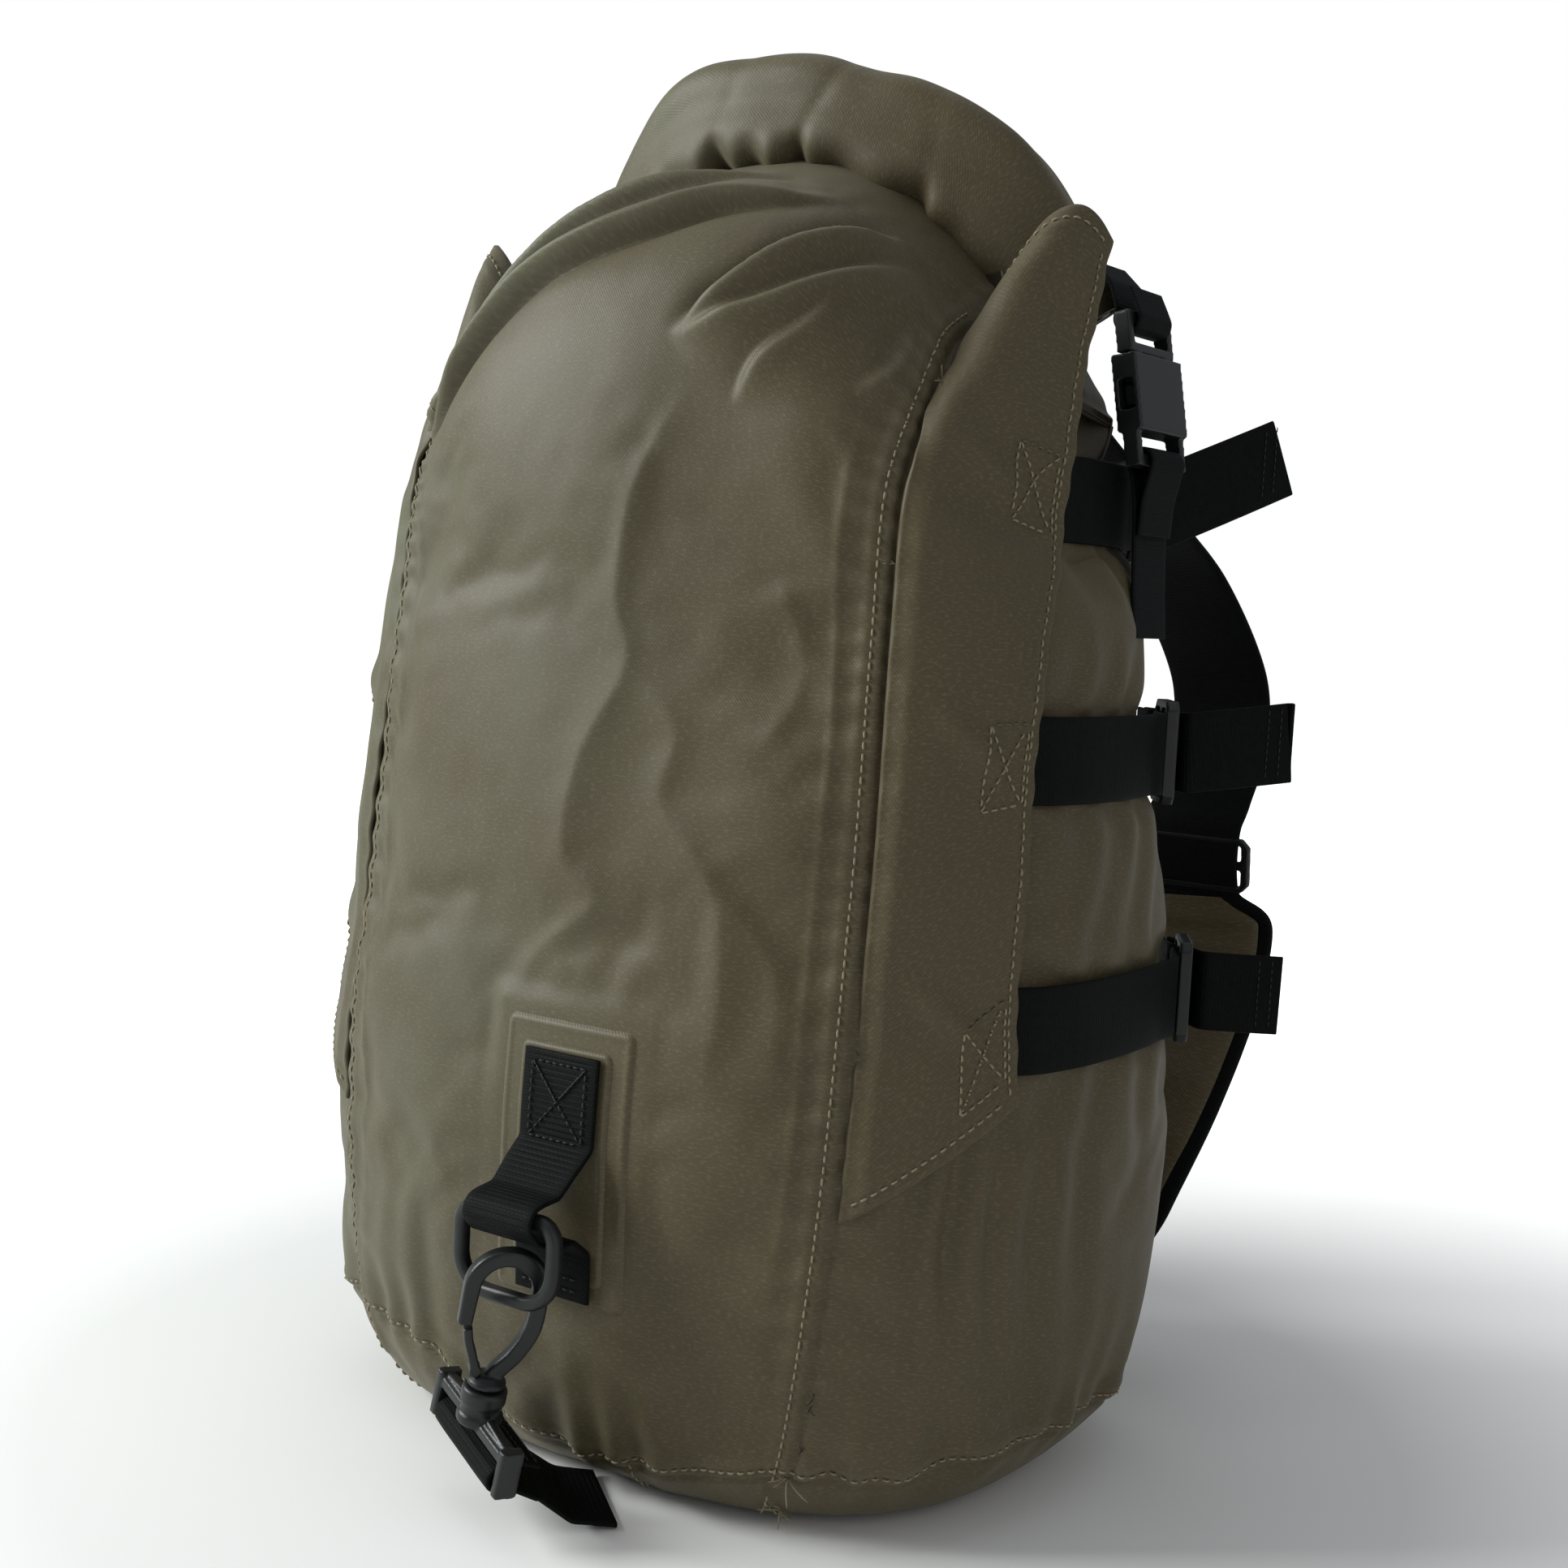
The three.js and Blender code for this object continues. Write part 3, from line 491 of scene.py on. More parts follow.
def webbing_material(name, color, rough=0.62):
    """Woven black webbing: short yarns in staggered columns."""
    m = Nodes(name)
    coordinates = m.add("TexCoord")
    cloth, place = coordinates.outputs["UV"], coordinates.outputs["Object"]
    size = {"Scale": 1.0, "Brick Width": 0.0017, "Row Height": 0.0009}
    gaps = {"Mortar Size": 0.00016, "Mortar Smooth": 1.0}
    yarn = m.add("TexBrick", {"Vector": cloth, **size, **gaps})
    noise = m.noise(place, 420.0, 3.0)
    broad = m.noise(place, 30.0, 2.0)
    base = m.mix(m.ramp(noise, 0.3, 0.75), shade(color, 0.7), shade(color, 1.7))
    m.link(m.mix(m.math("MULTIPLY", yarn.outputs["Fac"], 0.7), base, (0.002, 0.002, 0.002, 1)), "Base Color")
    m.link(m.math("ADD", rough - 0.08, m.math("MULTIPLY", broad, 0.2)), "Roughness")
    height = m.math("SUBTRACT", m.math("MULTIPLY", noise, 0.35), yarn.outputs["Fac"])
    m.link(m.bump(height, 0.55, 0.00022), "Normal")
    m.settings(Sheen_Weight=0.0, Sheen_Roughness=0.5, Specular_IOR_Level=0.10)
    return m.material


def plastic_material(name):
    """Moulded acetal with a satin face, faint flow marks and rubbed edges."""
    m = Nodes(name)
    place = m.add("TexCoord").outputs["Object"]
    broad, grain = m.noise(place, 90.0, 3.0), m.noise(place, 1500.0, 2.0)
    edge = m.ramp(m.add("NewGeometry").outputs["Pointiness"], 0.53, 0.62)
    base = m.mix(m.ramp(broad, 0.35, 0.7), (0.005, 0.0055, 0.006, 1), (0.010, 0.011, 0.012, 1))
    m.link(m.mix(m.math("MULTIPLY", edge, 0.5), base, (0.05, 0.05, 0.052, 1)), "Base Color")
    m.link(m.math("ADD", 0.3, m.math("MULTIPLY", broad, 0.16)), "Roughness")
    m.link(m.bump(grain, 0.12, 0.0001), "Normal")
    m.settings(Specular_IOR_Level=0.38)
    return m.material


def thread_material(name, color):
    """Twisted sewing thread."""
    m = Nodes(name)
    place = m.add("TexCoord").outputs["Object"]
    twist = m.noise(place, 1800.0, 2.0)
    m.link(m.mix(twist, shade(color, 0.7), shade(color, 1.35)), "Base Color")
    m.link(m.math("ADD", 0.55, m.math("MULTIPLY", twist, 0.2)), "Roughness")
    m.link(m.bump(twist, 0.3, 0.0002), "Normal")
    return m.material


# OLIVE_COOL is also the paler colour of the painted sheen on the window side, and OLIVE_WARM the browner
# colour of the side away from it
OLIVE_WARM = (0.076, 0.058, 0.029, 1)
OLIVE_COOL = (0.101, 0.101, 0.064, 1)
FABRIC = fabric_material("olive_nylon", OLIVE_WARM, OLIVE_COOL)
PATCH = fabric_material("welded_patch", shade(OLIVE_WARM, 1.08), OLIVE_COOL, 0.12, 0.45)
WEBBING = webbing_material("black_webbing", (0.0019, 0.0023, 0.0025))
PLASTIC = plastic_material("black_acetal")
KHAKI = thread_material("khaki_thread", (0.21, 0.18, 0.11))
BLACK = thread_material("black_thread", (0.012, 0.012, 0.013))


def finish_piece(obj, material, slot, body, *nodes):
    """Give a piece its look, and say which body it rides and which CAD nodes it replaces; slot is not used.
    """
    obj.data.materials.clear()
    obj.data.materials.append(material)
    if body:
        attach(obj, body)
    if nodes:
        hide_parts(*nodes)
    return obj


# ---------------------------------------------------------------- the fabric shell


def waves(p, size, seed, count=22):
    """Smooth random height of about -1..1 at points p, with bumps of about this size in mm."""
    g = np.random.default_rng(seed)
    directions = unit(g.normal(size=(count, 3))) * (2 * math.pi / (size * g.uniform(1.6, 3.2, (count, 1))))
    phase = g.uniform(0, 2 * math.pi, count)
    total = np.zeros(p.shape[:-1])
    for d, f in zip(directions, phase):
        total += np.sin(p @ d + f)
    return total / math.sqrt(count / 2) / 1.6


def polyline_distance(a, b, points):
    """Signed distance in mm from points (a, b) to a curve, and the share of the way along it."""
    points = spline(points, 4 * len(points))
    best = np.full(a.shape, 1e9)
    side, share = np.zeros(a.shape), np.zeros(a.shape)
    lengths = np.linalg.norm(np.diff(points, axis=0), axis=1)
    total, run = lengths.sum(), 0.0
    for (p, q), length in zip(zip(points[:-1], points[1:]), lengths):
        d = (q - p) / length
        t = np.clip((a - p[0]) * d[0] + (b - p[1]) * d[1], 0, length)
        da, db = a - p[0] - t * d[0], b - p[1] - t * d[1]
        dist = np.hypot(da, db)
        closer = dist < best
        best = np.where(closer, dist, best)
        side = np.where(closer, np.sign(d[0] * db - d[1] * da), side)
        share = np.where(closer, (run + t) / total, share)
        run += length
    return best * side, share


def crease(a, b, points, depth, lip, width, far=0.25, near=0.1):
    """A fold: cloth on the left of the line lifts over a groove, with a sharp step between them."""
    d, t = polyline_distance(a, b, points)
    ends = smooth(0, near, t) * smooth(0, far, 1 - t)
    step = 0.5 + 0.5 * np.tanh(d / 1.4)
    over = lip * np.exp(-((np.maximum(d - 1.5, 0) / (1.25 * width)) ** 1.3))
    groove = -depth * np.exp(-np.maximum(-d, 0) / (0.45 * width))
    return (step * over + (1 - step) * groove) * ends


def hem_height(x, y):
    """Height of the bottom hem's stitching round the sack."""
    across = [-125, -90, -44, -22, 9, 31, 53, 81, 102, 126]
    front = np.interp(x, across, [31, 36, 32, 20, 12, 13, 16, 23, 22, 27])
    beside = smooth(0, 30, np.abs(y))
    return np.where(y < 0, front, 24 + 3 * np.sin(x / 17.0)) * beside + 27 * (1 - beside)


def patch_zone(x, z, reach):
    """1 where the welded patch holds the cloth flat, 0 beyond this reach up and down."""
    return smooth(34, 26, np.abs(x - PATCH_X)) * smooth(reach, 44, np.abs(z - (PATCH_LOW + PATCH_HIGH) / 2))


STRAPS = {
    "top": dict(z=300, at=40, tail=58, rise=24),
    "middle": dict(z=226, at=28, tail=44, rise=8),
    "bottom": dict(z=151, at=26, tail=36, rise=-1),
}
COLUMNS, ROWS = 640, 430


def sack_grid():
    """Column angles and row heights spaced evenly along the cloth."""
    u = np.linspace(-270, 90, 4001)
    s = arc(sack(u, 0.45))
    columns = np.interp(np.linspace(0, s[-1], COLUMNS, endpoint=False), s, u)
    v = np.linspace(0, 1, 2001)
    s = arc(sack(-90, v))
    rows = np.interp(np.linspace(0, s[-1], ROWS), s, v)
    return columns, rows


class Shell:
    """The sack's cloth as one grid of points, with its relief, that other pieces are laid on."""

    def __init__(self):
        self.u, self.v = sack_grid()
        u, v = self.u[None, :], self.v[:, None]
        self.base = sack(u, v)
        self.normal = sack_normal(u, np.minimum(v, 0.995))
        self.per_degree = np.linalg.norm(sack(u + 0.25, v) - sack(u - 0.25, v), axis=-1) * 2
        self.rise = np.interp(v, np.linspace(0, 1, 2001), arc(sack(-90, np.linspace(0, 1, 2001))))
        self.girth = arc(sack(np.append(self.u, 90), 0.45))
        # Each half is described on the right, from the front (-90) round to the back (90).
        self.half = np.where(u < -90, -180 - u, u)
        self.set_relief(self.make_relief())

    def set_relief(self, relief):
        """Move the cloth out by its relief, and keep it just above the floor."""
        self.relief = relief
        self.points = self.base + self.normal * relief[..., None]
        self.points[..., 2] = np.maximum(self.points[..., 2], 0.3)

    def rise_of(self, v):
        return np.interp(v, self.v, self.rise[:, 0])

    def on_cloth(self, line):
        """Points (x, share up) as (x, mm up the cloth)."""
        return [(x, self.rise_of(v)) for x, v in line]

    def seam_distance(self):
        return (self.half - front_seam(self.v[:, None])) * self.per_degree

    def make_relief(self):
        u, v, p = self.half, self.v[:, None], self.base
        x, y, z = p[..., 0], p[..., 1], p[..., 2]
        s = np.broadcast_to(self.rise, x.shape)
        front = smooth(10, -25, y)
        seam = self.seam_distance()
        h = np.zeros(x.shape)
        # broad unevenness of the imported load, and small slack
        quiet = smooth(0.02, 0.12, v)
        h += (1.1 * waves(p, 60, 1) + 0.3 * waves(p, 22, 2) + 0.07 * waves(p, 7, 3)) * quiet
        h += self.dents(x, s, front)
        h += self.top_folds(x, s, front)
        h += self.side_gathers(u, z, s)
        # the strapped bands are pressed flat, and the cloth swells between them
        for strap in STRAPS.values():
            near = bell(z - strap["z"], 15.0, 4)
            round_side = smooth(-24, -14, u) * smooth(60, 46, u)
            h = h * (1 - 0.85 * near * round_side) - 1.2 * near * round_side
        bulge = smooth(-22, -8, u) * smooth(58, 40, u) * smooth(150, 165, z) * smooth(318, 300, z)
        h += 2.4 * bulge * np.abs(np.sin((z - 151) / 75.0 * math.pi)) ** 0.8
        # front seams: the front panel's folded edge is stitched down over the side panel
        body = smooth(HEM, HEM + 0.01, v)
        edge = 0.475 * np.tanh((seam + 8.0) / 1.4) - 0.475 * np.tanh((seam + 0.6) / 0.56)
        h += (edge - 0.9 * bell(seam - 0.3, 0.9) - 0.4 * bell(seam + 4.4, 0.8)) * body
        pull = np.sin(2 * math.pi * s / 11.0 + 2.2 * waves(p, 30, 4)) * bell(seam + 4, 9.0)
        h += 0.42 * pull * smooth(0.15, 0.25, v)
        ridge = bell(seam + 15 + 1.2 * waves(p, 40, 5), 1.5)
        h += 0.5 * (ridge * smooth(0.2, 0.4, v) * smooth(0.86, 0.7, v))
        # back seams
        back = (u - BACK_SEAM) * self.per_degree
        h += -0.9 * bell(back, 1.0) * body + 0.5 * np.sin(s / 2.0) * bell(back, 6.0) * body
        h += self.hem(x, y, z)
        return h * (1 - patch_zone(x, z, 52) * front)

    def dents(self, x, s, front):
        """Soft hollows where the load doesn't fill the front panel: x, share up, radius, depth."""
        h = np.zeros(x.shape)
        hollows = [
            (50, 0.64, 42, 6.0), (40, 0.78, 26, 3.6), (34, 0.52, 26, 3.2), (68, 0.47, 26, 2.4),
            (58, 0.34, 34, 2.2), (-48, 0.70, 34, 1.6), (-66, 0.50, 34, 2.0), (-24, 0.40, 30, 1.6),
            (66, 0.24, 22, 1.8), (-70, 0.32, 26, 1.8),
        ]
        for cx, cv, radius, depth in hollows:
            d2 = ((x - cx) ** 2 + (0.75 * (s - self.rise_of(cv))) ** 2) / radius**2
            h -= depth * np.exp(-(d2**1.3)) * front
        ridges = [
            [(30, 0.80), (16, 0.73), (12, 0.66), (18, 0.62), (6, 0.565),
             (4, 0.51), (16, 0.485), (-6, 0.45), (-14, 0.40)],
            [(18, 0.62), (36, 0.585), (34, 0.545), (54, 0.50), (60, 0.43), (54, 0.38)],
            [(54, 0.50), (74, 0.46), (78, 0.38)],
            [(62, 0.68), (72, 0.62), (60, 0.57)],
        ]
        for line, height in zip(ridges, (2.0, 1.7, 1.2, 1.2)):
            d, t = polyline_distance(x, s, self.on_cloth(line))
            ends = smooth(0, 0.15, t)
            h += height * np.exp(-np.abs(d / 7.5) ** 1.3) * ends * smooth(0, 0.2, 1 - t) * front
        return h

    def top_folds(self, x, s, front):
        """Folds that fan out from under the rolled collar."""
        h = np.zeros(x.shape)
        folds = [
            # points (x, share up), groove, lip, width
            ([(62, 0.968), (55, 0.935), (46, 0.905), (36, 0.872), (26, 0.845), (18, 0.822)],
             6.5, 8.0, 8.0),
            ([(72, 0.958), (63, 0.915), (50, 0.872), (35, 0.843), (19, 0.822)], 2.6, 4.5, 6.5),
            ([(-92, 0.80), (-84, 0.82), (-66, 0.855), (-46, 0.874), (-24, 0.886), (-2, 0.902),
              (16, 0.920), (36, 0.940), (50, 0.965)], 6.0, 7.5, 8.0),
            ([(-104, 0.79), (-98, 0.82), (-84, 0.862), (-64, 0.893), (-44, 0.914), (-20, 0.930),
              (4, 0.948), (30, 0.968)], 5.2, 6.5, 7.0),
            ([(-102, 0.83), (-96, 0.855), (-80, 0.895), (-58, 0.93), (-34, 0.956), (-6, 0.976)],
             4.0, 5.0, 5.5),
            ([(64, 0.90), (58, 0.86), (47, 0.82), (42, 0.78)], 1.6, 2.2, 8.0),
            ([(78, 0.93), (80, 0.88), (74, 0.83)], 1.2, 1.6, 6.0),
        ]
        for line, groove, lip, width in folds:
            fades = (0.34, 0.2) if line[0][0] < line[-1][0] else (0.25, 0.34)
            h += crease(x, s, self.on_cloth(line), groove, lip, width, *fades) * front
        # the back is smoother, with a few folds of its own
        back_folds = [
            [(70, 0.95), (52, 0.90), (40, 0.84)],
            [(-64, 0.95), (-50, 0.89), (-30, 0.85)],
            [(20, 0.96), (6, 0.91), (0, 0.86)],
        ]
        for line in back_folds:
            h += crease(x, s, self.on_cloth(line), 1.6, 2.0, 7.0) * (1 - front)
        return h

    def side_gathers(self, u, z, s):
        """Upright gathers where the compression straps draw the side panels in."""
        h = np.zeros(z.shape)
        around = u * 1.75
        wander = 3.0 * np.sin(z / 21.0) + 2.0 * np.sin(z / 9.0 + 1.0)
        under_wing = bell(z - 96, 34.0) * smooth(-52, -36, u) * smooth(16, -4, u)
        gathers = ((-66, 2.2, 3.6), (-55, 3.4, 4.2), (-42, 2.4, 4.0), (-27, 2.2, 5.0), (-10, 1.6, 5.0))
        for centre, depth, width in gathers:
            d = around - centre - 0.35 * wander
            beside = 0.6 * depth * bell(d - 1.9 * width, 1.3 * width)
            h += (-depth * bell(d, width) + beside) * under_wing
        for strap in STRAPS.values():
            for sign in (-1, 1):
                away = sign * (z - strap["z"])
                zone = smooth(10, 15, away) * np.exp(-np.maximum(away - 15, 0) / 15.0)
                zone = zone * smooth(-24, -14, u) * smooth(60, 44, u)
                turn = around / 3.4 + 2.2 * np.sin(around / 11.0 + strap["z"]) + 0.5 * wander
                h += 1.1 * np.sin(turn) * zone
        return h

    def hem(self, x, y, z):
        """The folded hem, its stitched groove and the puckers above and below it."""
        d = z - hem_height(x, y)
        around = np.broadcast_to(self.girth[None, :-1], z.shape)
        h = -0.9 * bell(d + 2.6, 0.9) - 0.45 * bell(d, 0.9)
        h += 0.5 * smooth(-3.0, -2.2, d) * smooth(5, 2, d)
        pucker = np.sin(around / 3.1 + 1.6 * np.sin(around / 13.0)) + 0.6 * np.sin(around / 5.3 + 1.0)
        h += 1.25 * pucker * np.exp(-np.maximum(d, 0) / 15.0) * np.exp(-np.maximum(-d, 0) / 5.0)
        # the doubled bottom patch, its edges in line with the sling
        h += 0.8 * (smooth(27, 28.5, x) * smooth(76, 74.5, x) * smooth(0, -10, y) * smooth(1, -1, d + 2.6))
        return h * smooth(0, 4, z)

    def lay(self, u, v):
        """Points on the finished cloth at angles u and shares v, and the normals there."""
        u = np.mod(np.asarray(u, float) + 270, 360) - 270
        column = np.interp(u, np.append(self.u, 90), np.arange(COLUMNS + 1))
        row = np.interp(v, self.v, np.arange(ROWS))
        column, row = np.broadcast_arrays(column, row)
        i, j = np.floor(column).astype(int), np.minimum(np.floor(row).astype(int), ROWS - 2)
        f, g = (column - i)[..., None], (row - j)[..., None]
        a, b = i % COLUMNS, (i + 1) % COLUMNS

        def mix(grid):
            low = grid[j, a] * (1 - f) + grid[j, b] * f
            high = grid[j + 1, a] * (1 - f) + grid[j + 1, b] * f
            return low * (1 - g) + high * g

        return mix(self.points), unit(mix(self.normal))


SETTLE_STEP, SETTLE_FRAMES, SETTLE_EXCESS, SETTLE_CAP = 4, 16, 0.018, 2.4


def settle(shell):
    """Let the slack cloth buckle between what holds it, as a cloth slightly too large for its frame."""
    grid = shell.points[::SETTLE_STEP, ::SETTLE_STEP]
    rows, cols = grid.shape[:2]
    obj = mesh_object("settling", grid.reshape(-1, 3), grid_quads(rows, cols, True))

    def pick(values):
        return np.broadcast_to(values, shell.base.shape[:2])[::SETTLE_STEP, ::SETTLE_STEP]

    u, v = pick(shell.half), pick(shell.v[:, None])
    x, y, z = grid[..., 0], grid[..., 1], grid[..., 2]
    held = smooth(HEM + 0.02, HEM - 0.01, v) + smooth(0.955, 0.985, v)
    held = held + smooth(7, 3, np.abs(pick(shell.seam_distance() + 1)))
    held = held + smooth(6, 3, np.abs((u - BACK_SEAM) * 1.9))
    for strap in STRAPS.values():
        held = held + smooth(17, 12, np.abs(z - strap["z"])) * smooth(-26, -18, u) * smooth(62, 50, u)
    held = np.clip(held + patch_zone(x, z, 54) * smooth(10, -25, y), 0, 1)
    group = obj.vertex_groups.new(name="held")
    for level in range(1, 11):
        chosen = np.flatnonzero(np.round(held.ravel() * 10) == level)
        if len(chosen):
            group.add(chosen.tolist(), level / 10, "REPLACE")
    cloth = obj.modifiers.new("cloth", "CLOTH")
    c = cloth.settings
    c.quality, c.mass, c.air_damping = 6, 0.15, 4.0
    c.tension_stiffness = c.compression_stiffness = 18
    c.shear_stiffness, c.bending_stiffness = 6, 0.02
    c.vertex_group_mass, c.pin_stiffness = "held", 1.0
    c.shrink_min = c.shrink_max = -SETTLE_EXCESS
    c.use_pressure, c.uniform_pressure_force = True, 0.6
    c.effector_weights.gravity = 0
    cloth.point_cache.frame_start, cloth.point_cache.frame_end = 1, SETTLE_FRAMES
    scene = bpy.context.scene
    for frame_number in range(1, SETTLE_FRAMES + 1):
        scene.frame_set(frame_number)
    graph = bpy.context.evaluated_depsgraph_get()
    settled = obj.evaluated_get(graph).data
    flat = np.empty(len(settled.vertices) * 3, np.float32)
    settled.vertices.foreach_get("co", flat)
    moved = flat.reshape(rows, cols, 3) / MM - grid
    bpy.data.objects.remove(obj)
    scene.frame_set(1)
    out = np.sum(moved * shell.normal[::SETTLE_STEP, ::SETTLE_STEP], -1) * (1 - held)
    out = SETTLE_CAP * np.tanh(np.nan_to_num(out) / SETTLE_CAP)
    # from the coarse grid to the fine one
    j = np.arange(ROWS) / SETTLE_STEP
    i = np.arange(COLUMNS) / SETTLE_STEP
    out = np.concatenate([out, out[:, :1]], 1)
    tall = np.stack([np.interp(j, np.arange(rows), out[:, k]) for k in range(cols + 1)], 1)
    fine = np.stack([np.interp(i, np.arange(cols + 1), row) for row in tall])
    for _ in range(6):
        fine[1:-1] = (fine[:-2] + 2 * fine[1:-1] + fine[2:]) / 4
        fine = (np.roll(fine, 1, 1) + 2 * fine + np.roll(fine, -1, 1)) / 4
    print("settled: largest move", round(float(np.abs(fine).max()), 2), "mm")
    shell.set_relief(shell.relief + fine)


def floor_rings(ring, shares, height):
    """Rings that close the base: each is ring drawn towards its middle."""
    middle = ring.mean(0)[:2]
    level = np.full(len(ring), height)
    return [np.column_stack([middle + (ring[:, :2] - middle) * k, level]) for k in shares]


def add_shell(shell):
    points = shell.points
    floor = floor_rings(points[0], (0.05, 0.3, 0.55, 0.75, 0.9), 0.35)
    top = points[-1]
    pinch = [top * [1, 1 - k, 1] + [0, 3 * k, 0] + [0, 0, 5 * k] for k in (0.5, 0.8, 0.93)]
    grid = np.concatenate([np.stack(floor), points, np.stack(pinch)])
    rows = len(grid)
    under, over = np.linspace(-90, -8, len(floor)), shell.rise[-1, 0] + np.array([5, 9, 12.0])
    rise = np.concatenate([under, shell.rise[:, 0], over])
    uv = np.stack(np.meshgrid(shell.girth, rise), -1) * MM
    quads, uvs = grid_quads(rows, COLUMNS, True), grid_uvs(uv[:, :-1], uv[:, -1])
    obj = mesh_object("sack_shell", grid.reshape(-1, 3), quads, uvs, end_caps(rows, COLUMNS))
    # painted highlight on the ridges of the folds: how far the cloth stands above its blurred relief
    painted_ridge_light = np.zeros(grid.shape[:2], np.float32)
    painted_ridge_light[len(floor) : len(floor) + ROWS] = np.clip((shell.relief - blur(shell.relief, 12)) * 0.5, 0, 0.8)
    layer = obj.data.attributes.new("painted_ridge_light", "FLOAT", "POINT")
    layer.data.foreach_set("value", painted_ridge_light.ravel())
    nodes = ("front_panel", "back_panel", "side_panel_right", "side_panel_left", "bottom_panel")
    finish_piece(obj, FABRIC, "fabric", "sack", *nodes)
    return obj


shell = Shell()
settle(shell)
sack_piece = add_shell(shell)

# ---------------------------------------------------------------- seams and their stitches


def seam_path(shell, u_of_v, v_from, v_to, offset, steps=500):
    """A line on the cloth beside a seam, offset in mm round the sack."""
    v = np.linspace(v_from, v_to, steps)
    u = u_of_v(v)
    per_degree = np.linalg.norm(sack(u + 0.25, v) - sack(u - 0.25, v), axis=-1) * 2
    return shell.lay(u + offset / per_degree, v)


def add_seam_stitches(shell):
    runs = []
    for u_of_v, offset in ((front_seam, -4.4), (lambda v: -180 - front_seam(v), 4.4)):
        for v0, v1 in ((0.055, 0.105), (0.118, 0.965)):
            runs += stitch_runs(*seam_path(shell, u_of_v, v0, v1, offset))
    for u, offset in ((BACK_SEAM, 4), (-180 - BACK_SEAM, -4)):
        runs += stitch_runs(*seam_path(shell, lambda v, u=u: np.full(v.shape, float(u)), 0.13, 0.96, offset))
    # hem, all the way round
    u = np.interp(np.linspace(0, shell.girth[-1], 1500), shell.girth, np.append(shell.u, 90))
    z = np.full(u.shape, 20.0)
    for _ in range(6):
        p = sack_at(u, z)
        z = hem_height(p[:, 0], p[:, 1])
    runs += stitch_runs(*shell.lay(u, height_to_v(u, z)))
    # sides of the doubled bottom patch
    for x in (30.5, 72.5):
        v = np.linspace(0.045, 0.095, 60)
        runs += stitch_runs(*shell.lay(front_angle(x, v), v))
    finish_piece(thread_mesh("seam_stitches", runs), KHAKI, "fabric", "sack")


def add_loose_threads(shell):
    """Knotted thread ends and small black ties along the front seams."""
    g = np.random.default_rng(3)
    khaki, black = [], []
    for u, v, size in ((-40.5, 0.905, 9), (-54.2, 0.125, 9), (-54.6, 0.075, 6), (-44.0, 0.70, 4)):
        start, n = shell.lay(np.array([u]), np.array([v]))
        for _ in range(5):
            heading = unit(g.normal(size=3) + 0.7 * n[0])
            bend = unit(g.normal(size=3))
            t = np.linspace(0, 1, 9)[:, None]
            khaki.append(start[0] + heading * size * t * g.uniform(0.5, 1) + bend * size * 0.4 * t * t)
    for v in (0.155, 0.19, 0.2, 0.33, 0.42, 0.62, 0.70, 0.90):
        u = float(front_seam(v)) + 1.0
        for k in range(2 if v < 0.21 else 1):
            start, n = shell.lay(np.array([u]), np.array([v + 0.004 * k]))
            heading = unit(g.normal(size=3) * [1, 1, 0.6] + n[0])
            t = np.linspace(0, 1, 7)[:, None]
            black.append(start[0] + heading * g.uniform(2.0, 3.6) * t + n[0] * 0.8 * np.sin(3 * t))
    finish_piece(thread_mesh("thread_ends", khaki, 0.2), KHAKI, "fabric", "sack")
    finish_piece(thread_mesh("black_ties", black, 0.18), BLACK, "webbing", "sack")


# ---------------------------------------------------------------- rolled collar


def roll_centre(s):
    """The roll's middle line, s from -1 at the left end to 1 at the right."""
    x = ROLL["reach"] * s
    z = ROLL["top"] - ROLL["fall"] * np.abs(s) ** ROLL["power"]
    z = z - 4 * bell(x, 60)
    z = z - 5 * bell(x + 66, 18) + 2.5 * bell(x + 28, 18) + 3 * bell(x - 64, 20)
    y = ROLL["y"] + ROLL["back"] * np.abs(s) ** 2.2
    return np.stack([x, y, z], -1)


